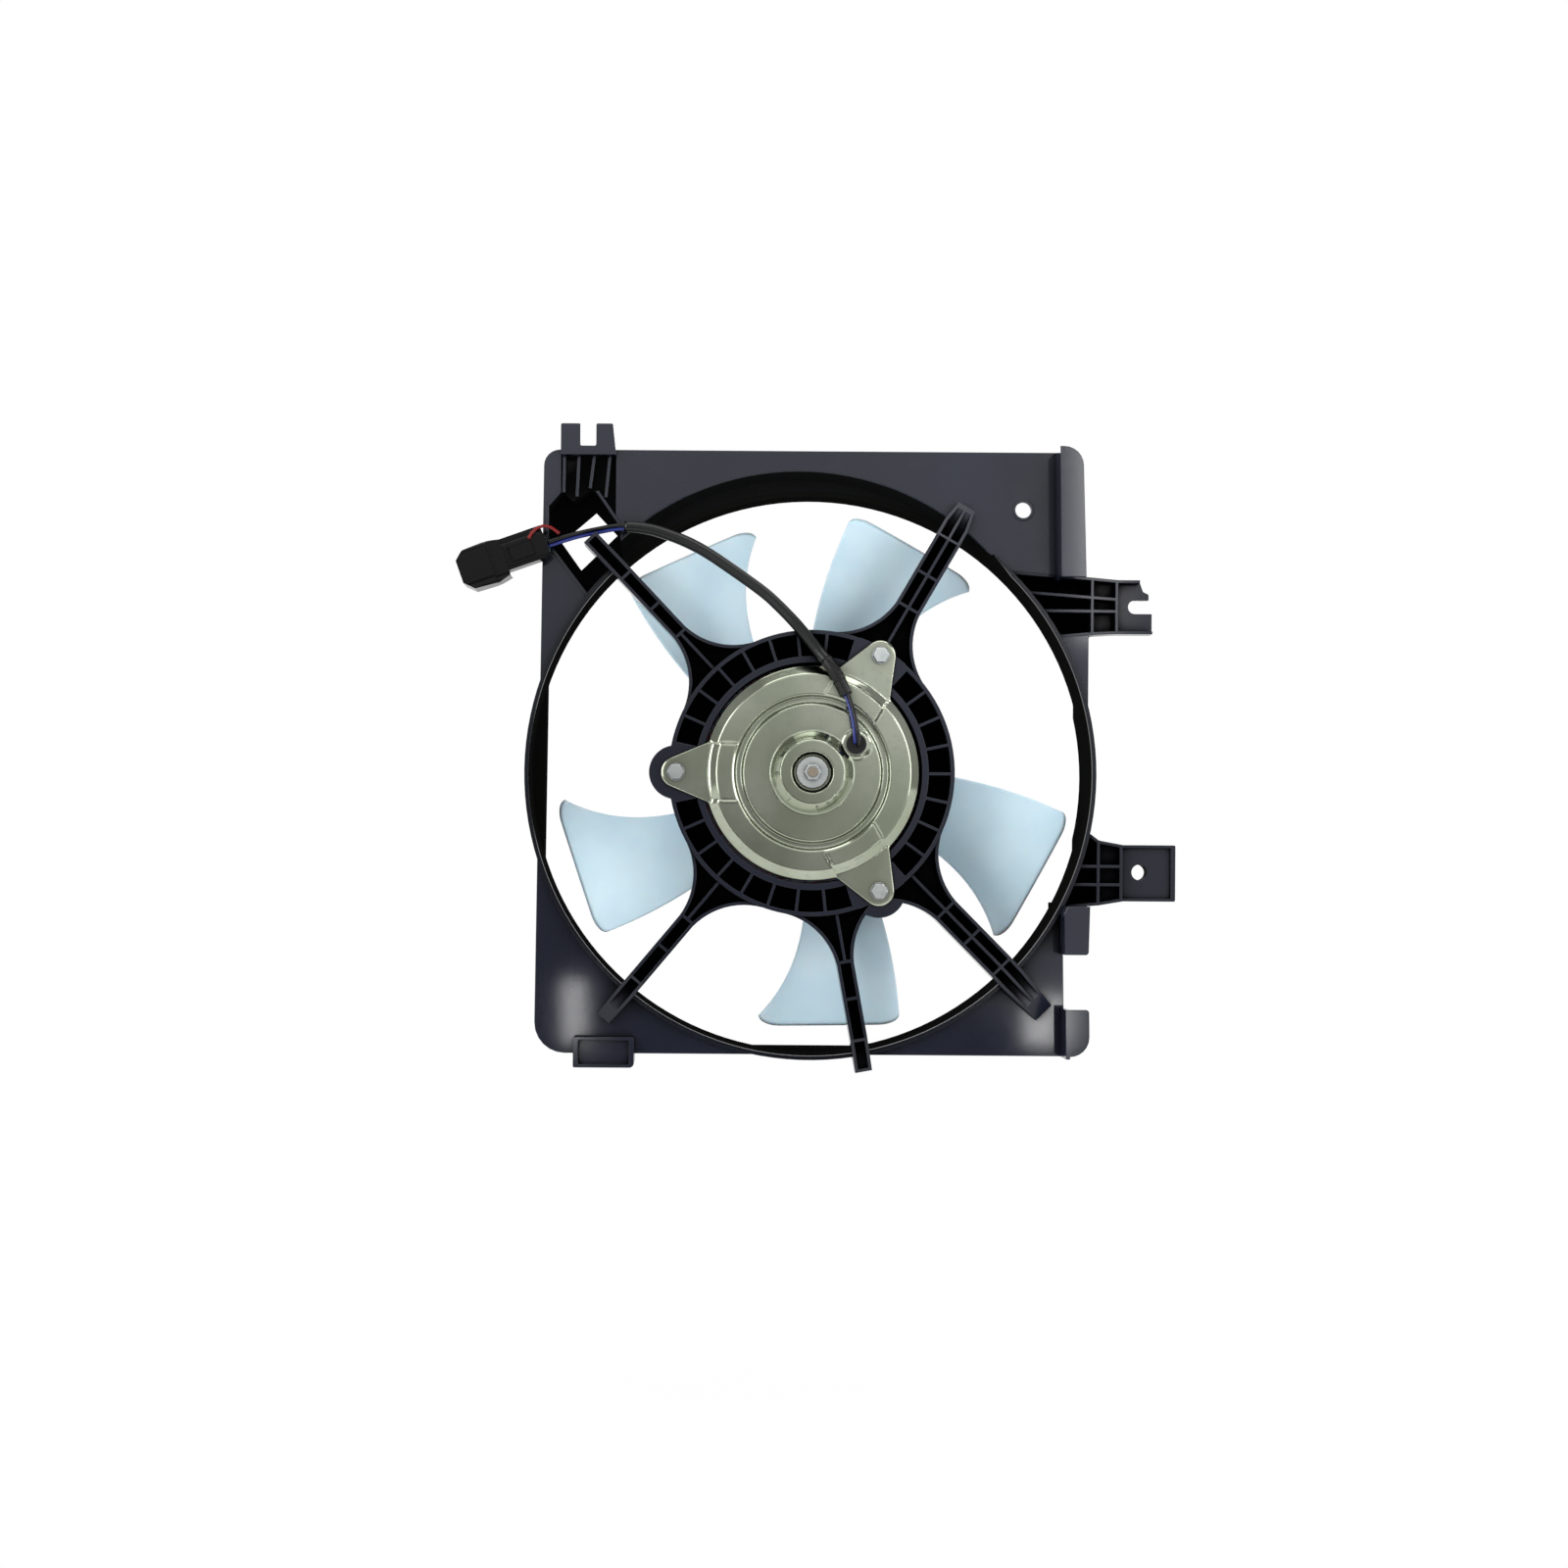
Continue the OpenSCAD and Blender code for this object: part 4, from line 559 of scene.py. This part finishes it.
# A round section carried along a stretch of the route; a bore makes it a hollow tube
def tubeAlong(name, rings, radius, finish, aside=0.0, sides=20, bore=0.0):
    line, across, up = (part[rings][:, None] for part in (routeLine, routeAcross, routeUp))
    turn = np.linspace(0, 2 * np.pi, sides, endpoint=False)[None, :, None]
    middle = line + across * aside
    skins = [middle + r * (across * np.cos(turn) + up * np.sin(turn)) for r in (radius, bore) if r]
    rows, n = len(line), len(line) * sides
    k = np.arange(sides)
    m = (k + 1) % sides
    faces = gridFaces(rows, sides)
    if bore:
        faces += gridFaces(rows, sides, start=n, turned=True)
        faces += np.stack([m, k, n + k, n + m], -1).tolist()
        faces += np.stack([n - sides + k, n - sides + m, 2 * n - sides + m, 2 * n - sides + k], -1).tolist()
    else:
        faces += [k[::-1].tolist(), (n - sides + k).tolist()]
    return newPiece(name, np.array(skins), faces, finish)


def makeLead():
    step, outer = lead["between"], lead["sleeve"] / 2
    sleeveRings, collarRings = (slice(a * step, b * step + 1)
                                for a, b in (lead["sleevePoints"], lead["collarPoints"]))
    sleeve = tubeAlong("leadSleeve", sleeveRings, outer, "sleeve", bore=outer - 0.4)
    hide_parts("lead_sleeve")
    collar = tubeAlong("tapeCollar", collarRings, outer + lead["collarOver"], "tape",
                       bore=outer + 0.05)
    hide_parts("tape_collar")
    for name, side, node, slot in (("blueWire", 1, "wire_blue", "blue_wire"),
                                   ("blackWire", -1, "wire_black", "black_wire")):
        aside = side * lead["apart"]
        wire = tubeAlong(name, slice(None), lead["wire"] / 2, name, aside, 12)
        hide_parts(node)


makeLead()
print("lead made")

# A white room: the background is white in the picture and in reflections, apart from the dim
# place round the camera, and soft lamps stand in front

studio = {
    "floorLevel": -0.42, "floorReach": 4.0, "floorColor": (0.90, 0.90, 0.90),
    "floorGlow": 0.955, "fadeFrom": 0.6, "fadeTo": 1.6,
    "room": 0.55, "dimmest": 0.14, "dimAt": (-0.03, -0.06), "dimFrom": 0.03, "dimTo": 0.27,
    "calm": 0.2, "calmFrom": 0.40, "calmTo": 0.80, "floorDim": (0.9, 1.5),
    "lamps": (  # place, width, height, power
        ((-1.5, -1.2, 0.5), 1.0, 1.6, 18.0),
        ((1.6, -1.0, 0.4), 0.8, 1.4, 14.0),
        ((0.1, -0.7, 1.7), 1.8, 0.9, 12.0),
        ((0.2, 1.4, 0.9), 1.4, 1.4, 10.0),
        ((-0.226, -1.345, -0.2415), 0.03, 0.08, 0.06),  # small ones beside the camera, mirrored
        ((0.363, -1.345, -0.249), 0.05, 0.06, 0.10),
        # in the lower corners and on the side flange
        ((0.420, -1.340, 0.400), 0.05, 0.35, 0.45)),
}


# A ray that a picture or a reflection is made of
def seenRays(paint):
    path = paint.node("ShaderNodeLightPath")
    mirrored = (path["Is Glossy Ray"] + path["Is Transmission Ray"]).atMost(1.0)
    return path["Is Camera Ray"], mirrored


def makeFloor():
    reach = studio["floorReach"]
    corners = [(x * reach, y * reach, studio["floorLevel"]) for x, y in ((-1, -1), (1, -1), (1, 1), (-1, 1))]
    mesh = bpy.data.meshes.new("floor")
    mesh.from_pydata(corners, [], [(0, 1, 2, 3)])
    floor = bpy.data.objects.new("floor", mesh)
    scene.collection.objects.link(floor)
    p = newPaint("floorPaper")
    direct, mirrored = seenRays(p)
    at = p.node("ShaderNodeSeparateXYZ", {}, {0: p.place()})
    away = (at["X"] * at["X"] + at["Y"] * at["Y"]) ** 0.5
    faded = away.above(studio["fadeFrom"], studio["fadeTo"])
    glowing = studio["floorGlow"] + (1 - studio["floorGlow"]) * faded
    diffuse = p.node("ShaderNodeBsdfDiffuse", {}, {"Color": studio["floorColor"]})[0]
    dim = mirrored * (at["Y"] * -1).above(*studio["floorDim"])
    tone = p.mix(dim, (1.0, 1.0, 1.0), (studio["dimmest"],) * 3)
    glow = p.node("ShaderNodeEmission", {}, {"Color": tone, "Strength": 1.0})[0]
    share = (direct + mirrored).atMost(1.0) * glowing
    mesh.materials.append(p.finish(p.node("ShaderNodeMixShader", {}, {0: share, 1: diffuse, 2: glow})[0]))


def makeWorld():
    world = bpy.data.worlds.new("studioWorld")
    scene.world = world
    w = Paint(world)
    way = w.node("ShaderNodeSeparateXYZ", {}, {0: w.node("ShaderNodeTexCoord")["Generated"]})
    x, z = (way[axis] - middle for axis, middle in zip("XZ", studio["dimAt"]))
    off = (x * x + z * z) ** 0.5
    lit = off.above(studio["dimFrom"], studio["dimTo"])
    lit = lit - (1 - studio["calm"]) * off.above(studio["calmFrom"], studio["calmTo"])
    lit = (lit + way["Y"].above(-0.1, 0.1)).atMost(1.0)
    level = studio["dimmest"] + (1 - studio["dimmest"]) * lit
    direct, mirrored = seenRays(w)
    strength = direct + (1 - direct) * (mirrored * level + (1 - mirrored) * studio["room"])
    back = w.node("ShaderNodeBackground", {}, {"Color": (1.0, 1.0, 1.0), "Strength": strength})[0]
    w.node("ShaderNodeOutputWorld", {}, {"Surface": back})


def makeLamps():
    for i, (place, width, height, power) in enumerate(studio["lamps"]):
        data = bpy.data.lights.new("lamp%d" % i, "AREA")
        data.shape, data.size, data.size_y, data.energy = "RECTANGLE", width, height, power
        lamp = bpy.data.objects.new("lamp%d" % i, data)
        scene.collection.objects.link(lamp)
        lamp.location = place
        lamp.rotation_euler = (-Vector(place)).to_track_quat("-Z", "Y").to_euler()
        lamp.visible_camera = False


makeFloor()
makeWorld()
makeLamps()
scene.view_settings.view_transform = "Standard"
print("studio lit")
